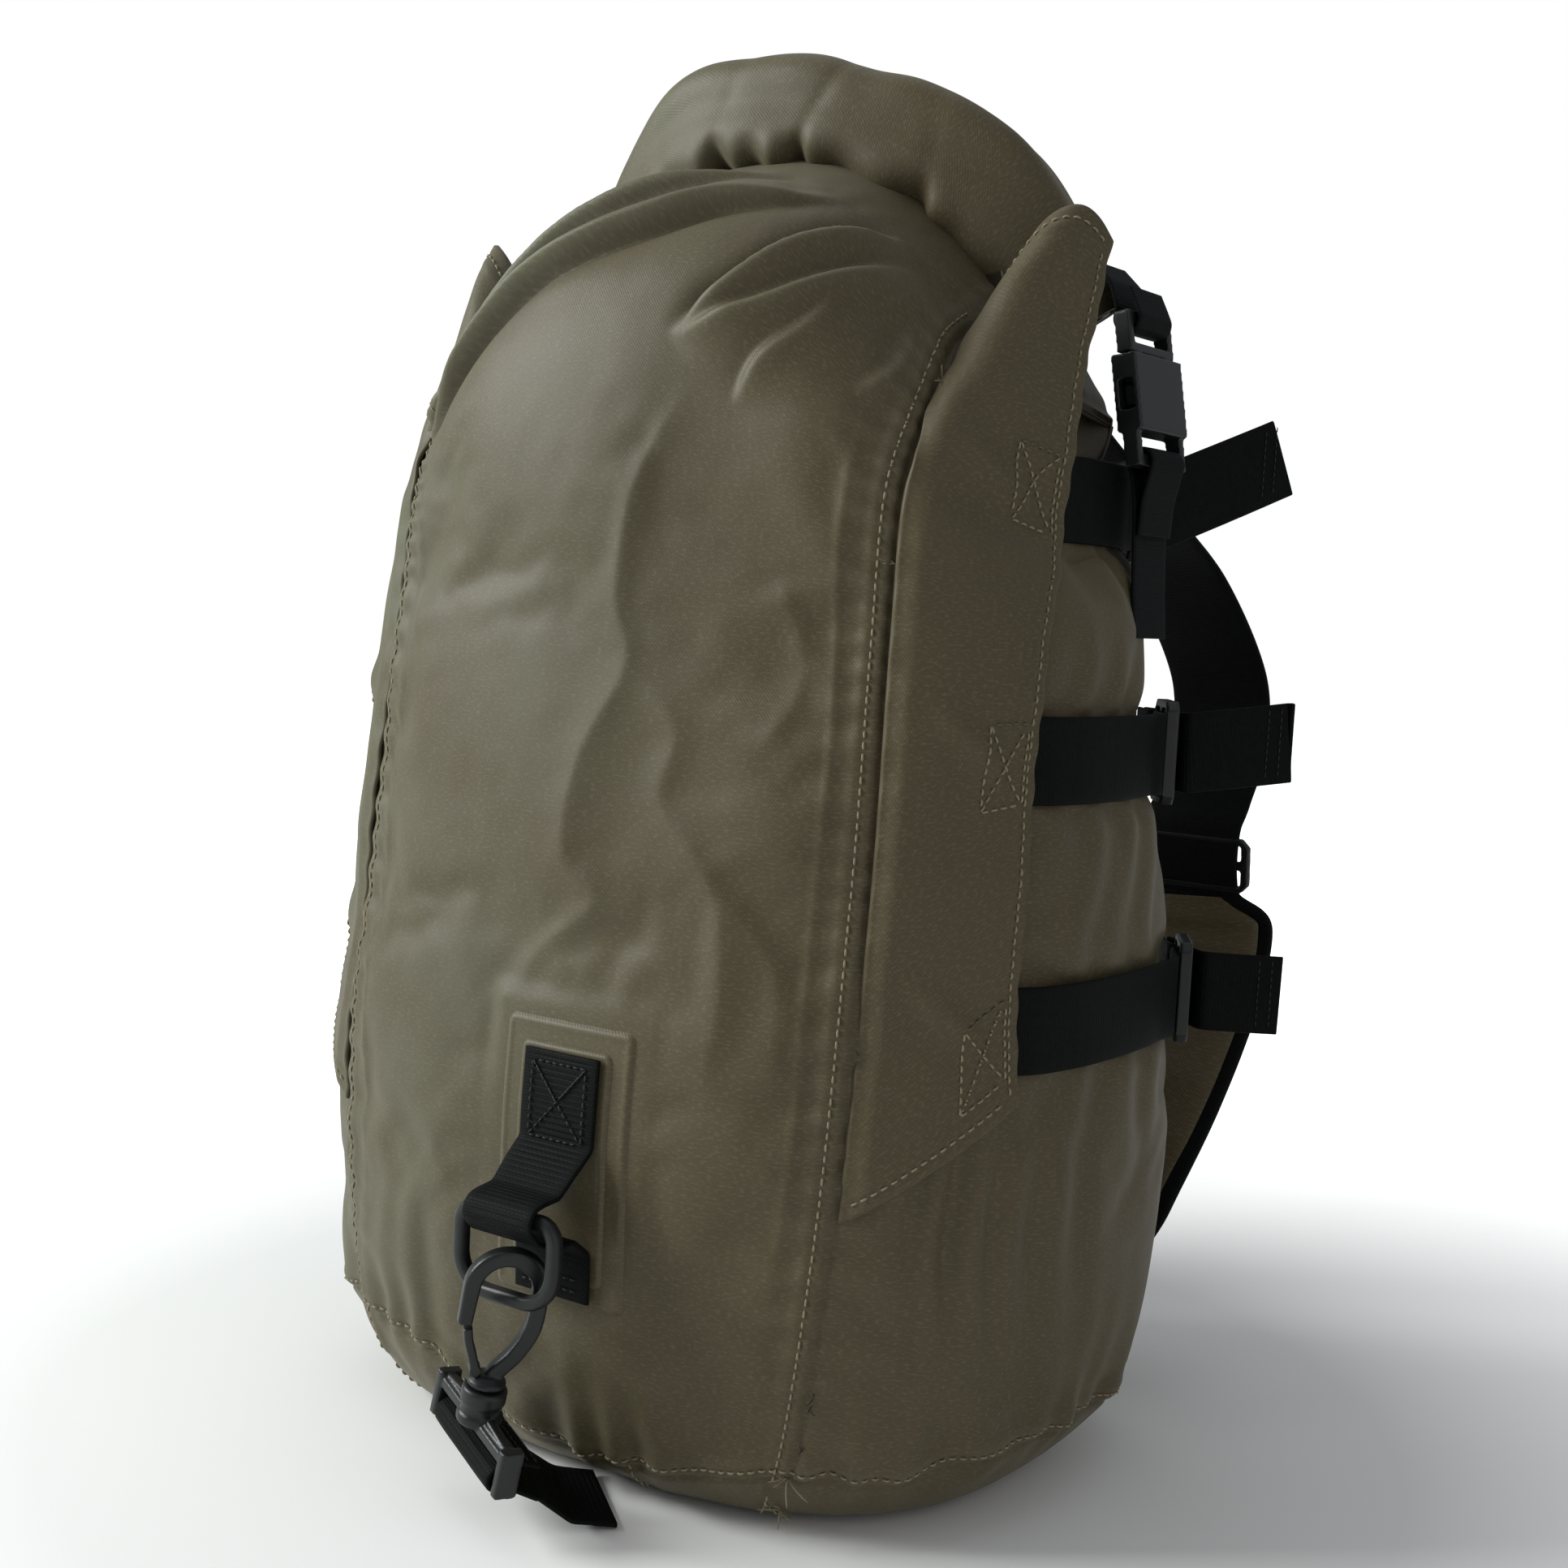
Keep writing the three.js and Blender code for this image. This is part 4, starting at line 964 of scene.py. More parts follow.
def add_roll():
    """The collar as one sheet rolled up, with gathers along its lower front and dips along its top."""
    rows, turns, layer, pitch = 300, 2.25, 2.2, 5.6
    t = np.linspace(-1, 1, rows)
    path = roll_centre(t * (1.22 - 0.22 * t * t))
    path = resample(path, count=rows)
    along, across, out = frames_along(path, (0, 1, 0))
    per_turn = 150
    k = np.arange(int(turns * per_turn) + 1)
    angle = -0.5 * math.pi - 2 * math.pi * k / per_turn
    shrink = pitch * k / per_turn
    points = []
    for inner in (False, True):
        depth = shrink + (layer if inner else 0)
        a = (ROLL["deep"] - depth)[None, :] * np.cos(angle)[None, :]
        b = (ROLL["high"] - depth)[None, :] * np.sin(angle)[None, :]
        p = path[:, None] + a[..., None] * across[:, None] + b[..., None] * out[:, None]
        points.append(p if not inner else p[:, ::-1])
    points = np.concatenate(points, 1)
    # outwards at each point, to push the cloth by
    radial = unit(points - path[:, None])
    x = np.broadcast_to(path[:, None, 0], points.shape[:2])
    low_front = smooth(0.2, 0.75, -radial[..., 2]) * smooth(-0.3, 0.5, -radial[..., 1])
    top = smooth(0.3, 0.9, radial[..., 2])
    front = smooth(0.1, 0.8, -radial[..., 1])
    h = 0.8 * waves(points, 44, 11) + 0.25 * waves(points, 16, 12) + 0.08 * waves(points, 6, 13)
    pucker = np.sin(x / 2.9 + 1.5 * np.sin(x / 11.0)) + 0.7 * np.sin(x / 5.2 + 0.6)
    h += 1.5 * pucker * low_front
    gathers = [
        # x, depth, width, lean
        (16, 1.8, 2.6, 6), (52, 1.4, 3.0, -8), (-16, 1.3, 3.0, 5), (80, 1.4, 4.0, -6), (-42, 1.0, 3, 4),
    ]
    for at, depth, width, lean in gathers:
        d = x - at - lean * radial[..., 2]
        h -= depth * bell(d, width) * (front * 0.25 + 1.3 * low_front)
    for at, depth, width in ((26, 2.2, 10), (88, 2.0, 9)):
        h -= depth * bell(x - at, width) * top
    h += 2.6 * bell(x - 68, 16) * top + 2.6 * bell(x + 38, 16) * top + 1.2 * bell(x - 6, 16) * top
    tilt = np.arctan2(radial[..., 2], radial[..., 1])
    h += 1.9 * np.cos(4 * (tilt - 0.62)) * smooth(1.0, 0.6, np.abs(x) / ROLL["reach"])
    points = points + radial * h[..., None] * 0.95
    cols = points.shape[1]
    girth = arc(points[rows // 2])
    uv = np.stack(np.meshgrid(np.append(girth, girth[-1] + 2), arc(path)), -1) * MM
    caps = [cap[::-1] for cap in end_caps(rows, cols)]
    quads = grid_quads(rows, cols, True)[:, ::-1]
    uvs = grid_uvs(uv[:, :-1], uv[:, -1]).reshape(-1, 4, 2)[:, ::-1].reshape(-1, 2)
    obj = mesh_object("rolled_collar", points.reshape(-1, 3), quads, uvs, caps)
    obj.data.attributes.new("painted_ridge_light", "FLOAT", "POINT")
    finish_piece(obj, FABRIC, "fabric", "sack", "roll_top_collar")


# ---------------------------------------------------------------- compression wings

WING_OFF, WING_THICK, WING_FROM, WING_TO, WING_RISE = 3.6, 1.5, 0.325, 0.965, 0.76


def wing_face(s, t):
    """A point of the right wing: s from the front seam to the free edge, t from the bottom up."""
    s, t = np.broadcast_arrays(np.asarray(s, float), np.asarray(t, float))
    v = WING_FROM + (WING_TO - WING_FROM) * t + 0.07 * s * (1 - smooth(0, 0.5, t))
    seam = front_seam(v) + 0.8

    def off(u, at):
        tucked = WING_OFF * (0.5 + 0.5 * smooth(0, 0.14, s))[..., None]
        return sack(u, at) + sack_normal(u, np.minimum(at, 0.95)) * tucked

    close = off(seam + (wing_edge(v) - seam) * s, v)
    stand = np.clip((v - WING_RISE) / (WING_TO - WING_RISE), 0, None)[..., None]
    foot = off(np.full(v.shape, float(wing_edge(WING_RISE))), np.full(v.shape, WING_RISE))
    upright = foot + stand * [-2, 22, 92]
    share = s[..., None]
    bow = 4 * share * (1 - share) * stand
    ruled = off(seam, v) * (1 - share) + upright * share + bow * [5, -6, 19]
    blend = smooth(WING_RISE, WING_RISE + 0.05, v)[..., None]
    return close * (1 - blend) + ruled * blend


def wing_sheet(s, t):
    """The wing's outer face with its puckers, and its normal."""
    base = wing_face(s, t)
    e = 0.004
    across = wing_face(np.minimum(s + e, 1), t) - wing_face(np.maximum(s - e, 0), t)
    up = wing_face(s, np.minimum(t + e, 1)) - wing_face(s, np.maximum(t - e, 0))
    n = unit(np.cross(across, up))
    z = base[..., 2]
    h = 1.0 * waves(base, 26, 21) + 0.25 * waves(base, 9, 22)
    h += 0.3 * np.sin(z / 2.1 + 2 * waves(base, 40, 23)) * np.exp(-s / 0.10)
    h += 0.35 * np.sin(z / 1.9) * np.exp(-(1 - s) / 0.07)
    edge = np.minimum(np.minimum((1 - s) * 55, t * 260), (1 - t) * 260)
    h += 0.35 * smooth(7.0, 5.5, edge) - 0.35 * bell(edge - 3.2, 0.8)
    for strap in STRAPS.values():
        near = bell(z - strap["z"], 13)
        h -= 0.8 * near * smooth(0.55, 0.8, s)
        pull = 1.9 * bell(z - strap["z"] - 30 * (0.7 - s), 5)
        h += pull * smooth(0.15, 0.5, s) * smooth(0.85, 0.6, s)
    # the lower corner hangs a little away from the side
    h += 2.2 * smooth(0.22, 0.0, t) * s
    return base + n * h[..., None], n


def border(grid):
    """The outer values of a grid, once round."""
    return np.concatenate([grid[0, :-1], grid[:-1, -1], grid[-1, :0:-1], grid[:0:-1, 0]])


def closed_sheet(name, top, normal, thick, uv, flip=False):
    """A sheet of even thickness with a rounded edge, from its outer face."""
    rows, cols = top.shape[:2]
    count = rows * cols
    index = np.arange(count).reshape(rows, cols)
    ring, inside = border(index), border(np.pad(index[1:-1, 1:-1], 1, mode="edge"))
    middle = (top - normal * thick / 2).reshape(-1, 3)
    rim = middle[ring] + unit(middle[ring] - middle[inside]) * thick * 0.45
    verts = np.concatenate([top.reshape(-1, 3), (top - normal * thick).reshape(-1, 3), rim])
    front = grid_quads(rows, cols, False)
    back = front[:, ::-1] + count
    k = np.arange(len(ring))
    n = (k + 1) % len(ring)
    edge = 2 * count
    side_a = np.stack([ring[n], ring[k], edge + k, edge + n], -1)
    side_b = np.stack([edge + n, edge + k, count + ring[k], count + ring[n]], -1)
    quads = np.concatenate([front, back, side_a, side_b])
    face_uvs = grid_uvs(uv).reshape(-1, 4, 2)
    uvs = np.concatenate([face_uvs, face_uvs[:, ::-1]])
    if flip:
        quads, uvs = quads[:, ::-1], uvs[:, ::-1]
    obj = mesh_object(name, verts, quads, uvs.reshape(-1, 2))
    obj.data.attributes.new("painted_ridge_light", "FLOAT", "POINT")
    return obj


def add_wings():
    s = np.linspace(0, 1, 64)[None, :]
    t = np.linspace(0, 1, 290)[:, None]
    face, normal = wing_sheet(s, t)
    uv = np.stack(np.broadcast_arrays(s * 55, t * 262), -1) * MM
    # stitches: bottom edge, free edge and top edge, 3 mm in, then a crossed box at each strap
    inset = 3.2
    a, b = 1 - inset / 55, inset / 255
    line = np.linspace(0, 1, 400)
    lines = [
        (0.04 + (a - 0.04) * line, np.full(400, b)),
        (np.full(400, a), b + (1 - 2 * b) * line),
        (a - (a - 0.06) * line, np.full(400, 1 - b)),
    ]
    runs = [run for across, up in lines for run in stitch_runs(*wing_sheet(across, up))]
    for strap in STRAPS.values():
        z0, z1 = strap["z"] - 11.5, strap["z"] + 10.5
        edge_z = wing_face(np.full(600, a), np.linspace(0, 1, 600))[:, 2]
        low, high = np.interp([z0, z1], edge_z, np.linspace(0, 1, 600))
        left, right = a - 17 / 55, a - 0.03
        corners = [(left, low), (right, low), (right, high), (left, high),
                   (left, low), (right, high), (left, high), (right, low)]
        part = np.linspace(0, 1, 40)
        for (s0, t0), (s1, t1) in zip(corners[:-1], corners[1:]):
            seam = wing_sheet(s0 + (s1 - s0) * part, t0 + (t1 - t0) * part)
            runs += stitch_runs(*seam, pitch=2.9, length=2.1)
    for side, sign in SIDES:
        turn = np.array([sign, 1, 1])
        obj = closed_sheet(f"wing_{side}", turn * face, turn * normal, WING_THICK, uv, flip=side == "left")
        finish_piece(obj, FABRIC, "fabric", "sack", f"compression_wing_{side}")
        threads = thread_mesh(f"wing_stitches_{side}", [turn * run for run in runs])
        finish_piece(threads, KHAKI, "fabric", "sack")


# ---------------------------------------------------------------- compression straps, ladder locks


def band_seat(u, z, half):
    """A point at height z that a straight band can lie on, and its level normal."""
    n = sack_normal(u, height_to_v(u, z)) * [1, 1, 0]
    n = unit(n)
    bulge = max(float(sack_at(u, z + k * half) @ n) for k in (-1, -0.75, -0.5, -0.25, 0, 0.5, 1))
    at = sack_at(u, z)
    at = at + n * (bulge - at @ n)
    return np.array([at[0], at[1], z]), n


def lock_place(strap):
    """A function from mm along the strap, out and up, to a place at this strap's lock."""
    at, n = band_seat(strap["at"], strap["z"], 16)
    t = np.array([-n[1], n[0], 0])
    return lambda along, out, up=0.0: at + t * along + n * out + np.array([0, 0, up])


def tail_point(strap, place, out, off=0.0):
    """A point of the strap's free tail, out from the sack and off its middle."""
    slope = math.tan(math.radians(strap["rise"]))
    return place(-4 + 10 * (out / 60) ** 2 + off, out, (out - 12) * slope)


def strap_path(strap, place):
    z = strap["z"]
    start = float(wing_edge(height_to_v(-15, z))) - 5.0
    path = []
    for u in np.arange(start, strap["at"] - 12, 3.0):
        at, out = band_seat(u, z, 12.5)
        path.append(at + out * (2.6 if u > start + 8 else 1.2))
    for a, b in [(-17, 2.3), (-8, 2.1), (0, 1.9), (3.8, 2.3), (5, 4.6), (4.6, 8), (2.2, 9.5), (-1, 10.2)]:
        path.append(place(a, b))
    for out in np.linspace(12, strap["tail"], 7):
        path.append(tail_point(strap, place, out))
    return np.array(path)


def add_straps():
    for name, strap in STRAPS.items():
        place = lock_place(strap)
        path = blur(resample(strap_path(strap, place), 0.8), 6)
        for side, sign in SIDES:
            turn = np.array([sign, 1, 1])
            obj = webbing(f"strap_{name}_{side}", turn * path, 25, 1.45, (0, 0, 1), rib=1.35, rise=0.1)
            finish_piece(obj, WEBBING, "webbing", None, f"compression_strap_{name}_{side}")
            a, b = (turn * q * MM for q in (place(-24, 1), place(-6, 5)))
            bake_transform(obj)
            add_tail_fold(name, side, turn, place, strap)
            add_lock_anchor(name, side, turn, place)


def add_tail_fold(name, side, turn, place, strap):
    """Two rows of stitches across the tail's end, and on the middle strap the end folded back."""
    tail = strap["tail"]
    folded = name == "middle"
    if folded:
        fold = ((-9, 1.5), (-4, 1.55), (-1, 1.4), (0.6, 0.8), (0.8, 0.0))
        path = turn * spline([tail_point(strap, place, tail + out, off) for out, off in fold], 40)
        obj = webbing(f"tail_fold_{name}_{side}", path, 24.8, 1.3, (0, 0, 1), rib=1.35, rise=0.1)
        finish_piece(obj, WEBBING, "webbing", f"lock_{name}_{side}")
    runs = []
    t = place(1, 0) - place(0, 0)
    for back in (3.0, 7.0):
        for up in np.arange(-10, 10, 2.4):
            for off, s in ((-0.85, -1), (2.25 if folded else 0.85, 1)):
                base = tail_point(strap, place, tail - back, off)
                rise = np.linspace(0, 1.7, 5)[:, None] * np.array([0, 0, 1.0]) + [0, 0, up]
                bow = np.sin(np.linspace(0, math.pi, 5))[:, None] * 0.16 * s
                runs.append(turn * (base + rise + bow * t))
    obj = thread_mesh(f"tail_stitches_{name}_{side}", runs, 0.2, 5)
    finish_piece(obj, BLACK, "webbing", f"lock_{name}_{side}")


def add_lock_anchor(name, side, turn, place):
    """The sewn-down web that holds the lock by its rear bar."""
    bar, out = 11.0, 5.4
    fold = [(24, 0.2), (16, 1.0), (bar, out - 3.8), (bar - 3.6, out - 2.5), (bar - 3.8, out + 0.8),
            (bar - 2.4, out + 3.2), (bar, out + 3.8), (16.2, out + 1.6), (24.4, 2.2)]
    path = turn * blur(resample([place(a, b) for a, b in fold], 0.5), 5)
    obj = webbing(f"anchor_{name}_{side}", path, 25, 1.05, (0, 0, 1), rib=1.35, rise=0.08)
    finish_piece(obj, WEBBING, "webbing", "sack", f"lock_anchor_{name}_{side}")


# ---------------------------------------------------------------- moulded hardware from the CAD nodes


def moulded(name, node, body, voxel=0.5):
    """A CAD node remade as a moulded part with softened edges."""
    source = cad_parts[node]
    mesh = source.data.copy()
    mesh.transform(source.matrix_world)
    soften(link(bpy.data.objects.new(name, mesh)), voxel, 3, body, node)


def soften(obj, voxel, passes, body, *nodes):
    """Fuse a part's solids and round its edges a little."""
    remesh = obj.modifiers.new("remesh", "REMESH")
    remesh.mode = "VOXEL"
    remesh.voxel_size = voxel * MM
    remesh.use_smooth_shade = True
    relax = obj.modifiers.new("soften", "SMOOTH")
    relax.factor = 0.5
    relax.iterations = passes
    apply_modifiers(obj)
    finish_piece(obj, PLASTIC, "plastic", body, *nodes)


def apply_modifiers(obj):
    graph = bpy.context.evaluated_depsgraph_get()
    graph.update()
    mesh = bpy.data.meshes.new_from_object(obj.evaluated_get(graph))
    obj.modifiers.clear()
    obj.data = mesh
    mesh.polygons.foreach_set("use_smooth", np.ones(len(mesh.polygons), bool))


def add_moulded_parts():
    for side, sign in SIDES:
        for name in STRAPS:
            moulded(f"lock_{name}_{side}_frame", f"ladder_lock_{name}_{side}", f"lock_{name}_{side}", 0.55)
        moulded(f"plug_{side}", f"buckle_plug_{side}", "sack")
        moulded(f"socket_{side}_body", f"buckle_socket_{side}", f"socket_{side}")
        moulded(f"slider_{side}", f"strap_slider_{side}", "sack", 0.6)


# ---------------------------------------------------------------- buckle webs


BUCKLE_AT, BUCKLE_LEAN = (118.2, 22.5, 349), 10


def add_buckle_webs():
    """The web at each end of the collar, and the one that anchors each socket to the side."""
    lean = math.radians(BUCKLE_LEAN)
    for side, sign in SIDES:
        down = np.array([sign * math.sin(lean), 0, -math.cos(lean)])
        into = np.array([-sign * math.cos(lean), 0, -math.sin(lean)])
        at = np.array(BUCKLE_AT) * [sign, 1, 1]
        place = lambda y, z: at + down * y + into * z
        tab = [(-25, 9.5), (-18, 4.4), (-10, 3.1), (-6, 4.2), (-3, 3.1),
               (-2, 0), (-3, -3.1), (-6, -4.2), (-10, -3.1), (-15, -1.6)]
        path = blur(resample([place(*q) for q in tab], 0.5), 4)
        obj = webbing(f"tab_{side}", path, 22, 1.1, (0, 1, 0), rib=1.35, rise=0.08)
        finish_piece(obj, WEBBING, "webbing", "sack", f"collar_tab_{side}")
        anchor = [(88, 7.6), (74, 6.4), (60, 4.6), (48, 3.2), (40.6, 3.2), (36.6, 4.3), (33.4, 3.1),
                  (32.6, 0), (33.4, -3.1), (36.6, -4.2), (40.6, -2.6), (48, 0.6), (58, 3.0)]
        path = blur(resample([place(*q) for q in anchor], 0.6), 4)
        obj = webbing(f"buckle_web_{side}", path, 22, 1.1, (0, 1, 0), rib=1.35, rise=0.08)
        finish_piece(obj, WEBBING, "webbing", None, f"buckle_anchor_web_{side}")
        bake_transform(obj)


# ---------------------------------------------------------------- front patch, loop and ring


def round_box(x, z, half_x, half_z, radius):
    """Distance outside a rounded rectangle, negative inside."""
    dx, dz = np.abs(x) - half_x + radius, np.abs(z) - half_z + radius
    return np.hypot(np.maximum(dx, 0), np.maximum(dz, 0)) + np.minimum(np.maximum(dx, dz), 0) - radius


def add_patch(shell):
    """The two welded layers behind the front loop."""
    middle = (PATCH_LOW + PATCH_HIGH) / 2
    tall = PATCH_HIGH - PATCH_LOW
    for node, shrink, height in (("patch_backing", 0, 0.75), ("patch_cover", 6.5, 1.45)):
        half_x, half_z = PATCH_WIDE / 2 - shrink, tall / 2 - shrink
        across = np.linspace(-half_x - 0.8, half_x + 0.8, 90)
        gx, gz = np.meshgrid(across, np.linspace(-half_z - 0.8, half_z + 0.8, 150))
        x, z = PATCH_X + gx, middle + gz
        u, v = front_place(x, z)
        d = round_box(gx, gz, half_x, half_z, 3.5)
        lift = (height + 0.35) * smooth(0.3, -1.6, d) - 0.35 + 0.28 * bell(d + 2.4, 0.9)
        top, normal = shell.lay(u, v)
        top = top + normal * lift[..., None]
        uv = np.stack([gx, gz], -1) * MM
        obj = closed_sheet(f"{node}_cloth", top, normal, 0.5, uv)
        finish_piece(obj, PATCH, "patch", "sack", node)


LOOP_X, LOOP_Y, LOOP_Z, LOOP_BEND = 12, -125.5, 91, 5.1


def add_loop(shell):
    def on_cover(z):
        """How far forward the welded patch's face is at height z."""
        return float(shell.lay(*front_place(LOOP_X, z))[0][1]) - 2.5

    front = -108.6
    bends = []
    for turn in np.radians((90, 125, 160, 195)):
        bends.append((LOOP_Y + LOOP_BEND * math.cos(turn), LOOP_Z - 0.4 + LOOP_BEND * math.sin(turn)))
    upper = [(on_cover(z), z) for z in (134, 127, 120, 113, 108)] + [(front - 4, 102.5), (front - 10, 96.5)]
    lower = [(-118, 82.5), (-112.5, 83)] + [(on_cover(z), z) for z in (78, 72, 67, 63)]
    route = upper + bends + [(LOOP_Y - 1, LOOP_Z - 5.9)] + lower
    path = blur(resample([(LOOP_X, y, z) for y, z in route], 0.4), 8)
    narrow = lambda t: 1.12 - 0.1 * bell(t - 0.5, 0.16)
    obj = webbing("front_loop_web", path, 25, 1.45, (1, 0, 0), rib=1.75, rise=0.24, step=0.3, narrow=narrow)
    finish_piece(obj, WEBBING, "webbing", "sack", "front_loop")
    runs = []
    low, high, middle = 109, 131, 120
    corners = [(-10, low), (10, low), (10, high), (-10, high), (-10, low),
               (10, high), (0, middle), (-10, high), (10, low)]
    lines = list(zip(corners[:-1], corners[1:])) + [((-11, 66), (11, 66)), ((-11, 69.5), (11, 69.5))]
    for (x0, z0), (x1, z1) in lines:
        line = np.linspace(0, 1, 30)
        z = z0 + (z1 - z0) * line
        y = np.array([on_cover(k) - 1.0 for k in z])
        p = np.stack([LOOP_X + x0 + (x1 - x0) * line, y, z], -1)
        runs += stitch_runs(p, np.tile([0, -1.0, 0], (30, 1)), pitch=2.6, length=1.9, rise=0.3)
    finish_piece(thread_mesh("loop_stitches", runs, 0.24), BLACK, "webbing", "sack")


def add_ring():
    """A ring with four rounded corners, tighter at the top where the loop bears."""
    half_wide, half_high = 17.5, 11.9
    path = []
    for sx, sz, start, r in ((1, 1, 0, 5.5), (-1, 1, 90, 5.5), (-1, -1, 180, 10.5), (1, -1, 270, 10.5)):
        for k in range(13):
            a = math.radians(start + 90 * k / 12)
            x = LOOP_X + sx * (half_wide - r) + r * math.cos(a)
            path.append((x, LOOP_Y, LOOP_Z - half_high + sz * (half_high - r) + r * math.sin(a)))
    path = resample(np.vstack([path, path[:1]]), count=121)[:-1]
    obj = sweep("ring_body", path, rounded(4.5, 4.5, 2.5, 24), (0, 1, 0), closed=True)
    fix_normals(obj)
    finish_piece(obj, PLASTIC, "plastic", "ring", "oval_ring")


def fix_normals(obj):
    b = bmesh.new()
    b.from_mesh(obj.data)
    bmesh.ops.recalc_face_normals(b, faces=b.faces)
    b.to_mesh(obj.data)
    b.free()


# ---------------------------------------------------------------- snap hook, swivel base, sling

HOOK_AT, HOOK_LEAN, HOOK_TURN = (7.5, -127, 41), 12, 50
HOOK_MOUTH, HOOK_BAR, HOOK_DEEP, HOOK_ARC = 7, 5.5, 5, 30
BASE_TURN, BASE_WIDE, BASE_SLOT, BASE_ROD, BASE_DROP = 22, 48, 40.4, 2.4, 18.5


def hook_matrix(turn):
    """The hook's leaning frame in mm, turned about its own axis."""
    lean = Matrix.Rotation(math.radians(HOOK_LEAN), 4, "Y")
    return Matrix.Translation(HOOK_AT) @ lean @ Matrix.Rotation(math.radians(turn), 4, "Z")


def join_pieces(name, pieces):
    """Several closed parts as one mesh object."""
    b = bmesh.new()
    for piece in pieces:
        b.from_mesh(piece.data)
        bpy.data.objects.remove(piece)
    bmesh.ops.recalc_face_normals(b, faces=b.faces)
    mesh = bpy.data.meshes.new(name)
    b.to_mesh(mesh)
    b.free()
    return link(bpy.data.objects.new(name, mesh))


def turned(points, sides=40):
    """A solid of revolution round z from (radius, height) points, both ends on the axis."""
    profile = np.array(points, float)
    a = np.linspace(0, 2 * math.pi, sides, endpoint=False)
    radius, height = profile[:, :1], np.repeat(profile[:, 1:], sides, 1)
    grid = np.stack([radius * np.cos(a), radius * np.sin(a), height], -1)
    rows = len(profile)
    quads = grid_quads(rows, sides, True)
    return mesh_object("turned", grid.reshape(-1, 3), quads, None, end_caps(rows, sides))


def block(size, z):
    """A bar along x, centred on the axis at height z, with softened edges."""
    wide, deep, tall = size
    path = np.array([[-wide / 2 + k * wide / 6, 0, z] for k in range(7)])
    return sweep("block", path, rounded(deep, tall, 7.0, 32), (0, 1, 0))


def add_hook():
    """The snap hook: a bent bar on a turned foot and stem, and its sprung gate."""
    r = HOOK_MOUTH + HOOK_BAR / 2
    turns = np.radians(180 - np.linspace(0, 180, 13))
    bow = [(r * math.cos(a), 0, HOOK_ARC + r * math.sin(a)) for a in turns]
    spine = [(-0.8, 0, 0.6), (-2, 0, 4.4), (-6.4, 0, 10.5), (-r, 0, 19)]
    path = resample(spline(spine + bow + [(r, 0, 22), (r, 0, 18.6)], 140), count=120)
    t = np.linspace(0, 1, 120)
    thick = 0.9 * HOOK_BAR * (1 - 0.12 * smooth(0.82, 1, t) + 0.08 * bell(t - 0.55, 0.1))
    section = rounded(1, 1, 4.2, 24)[None] * np.stack([np.full(120, HOOK_DEEP), thick], -1)[:, None]
    stroke = sweep("stroke", path, section, (0, 1, 0))
    foot = turned([(0.1, -0.1), (5.0, -0.1), (5.6, 0.5), (5.6, 1.6), (4.6, 2.4), (3.4, 3.4), (0.1, 3.6)])
    stem = turned([(0.1, -7.2), (3.7, -7.2), (4.2, -6.7), (4.2, -5.2), (3.9, -4.7), (2.6, -4.5),
                   (2.6, 0.4), (0.1, 0.5)])
    obj = join_pieces("snap_hook_body", [stroke, foot, stem])
    obj.data.transform(hook_placement(180 + HOOK_TURN))
    soften(obj, 0.42, 3, "hook", "snap_hook")
    gate = resample(spline([(4.2, 0, 4.6), (5.8, 0, 9), (7.6, 0, 13.4), (8.6, 0, 17.4)], 40), count=50)
    tongue = sweep("tongue", gate, rounded(4.8, 2.7, 4.5, 24), (0, 1, 0))
    pin = np.array([(4.2, y, 4.6) for y in np.linspace(-2.5, 2.5, 7)])
    knuckle = sweep("knuckle", pin, rounded(3.4, 3.4, 2.0, 24), (1, 0, 0))
    obj = join_pieces("snap_gate_body", [tongue, knuckle])
    obj.data.transform(hook_placement(180 + HOOK_TURN))
    soften(obj, 0.35, 2, "gate", "snap_gate")


def hook_placement(turn):
    """The hook's placement for a mesh in metres."""
    m = hook_matrix(turn)
    m.translation = m.translation * MM
    return m


def add_base():
    """The swivel's round seat, its bar and ears, and the rod that the sling passes over."""
    half = BASE_WIDE / 2
    plate = half - BASE_SLOT / 2
    rings = [(0.1, -11.4), (6.4, -11.4), (6.7, -10.6), (6.7, -8.6), (6.0, -8.0), (6.0, -5.6),
             (6.6, -5.0), (6.6, -1.4), (6.1, -0.5), (3.2, -0.5), (3.2, -4.4), (0.1, -4.4)]
    parts = [turned(rings), block((BASE_WIDE, 6, 3.4), -11)]
    for s in (-1, 1):
        x = s * (half - plate / 2)
        ear = np.array([(x, 0, z) for z in np.linspace(-22, -8, 9)])
        parts.append(sweep("ear", ear, rounded(plate, 7, 5, 24), (1, 0, 0)))
        web = np.array([(s * (7 + 13 * t), 0, -8.4 - 1.2 * t) for t in np.linspace(0, 1, 7)])
        parts.append(sweep("gusset", web, rounded(3.2, 2.6, 4, 20), (0, 1, 0)))
    rod = np.array([(x, 0, -BASE_DROP - 0.6) for x in np.linspace(-half + 1, half - 1, 25)])
    parts.append(sweep("rod", rod, rounded(2 * BASE_ROD, 2 * BASE_ROD, 2.2, 24), (0, 1, 0)))
    obj = join_pieces("swivel_base_body", parts)
    obj.data.transform(hook_placement(-BASE_TURN))
    soften(obj, 0.45, 3, "hook_base", "swivel_base")


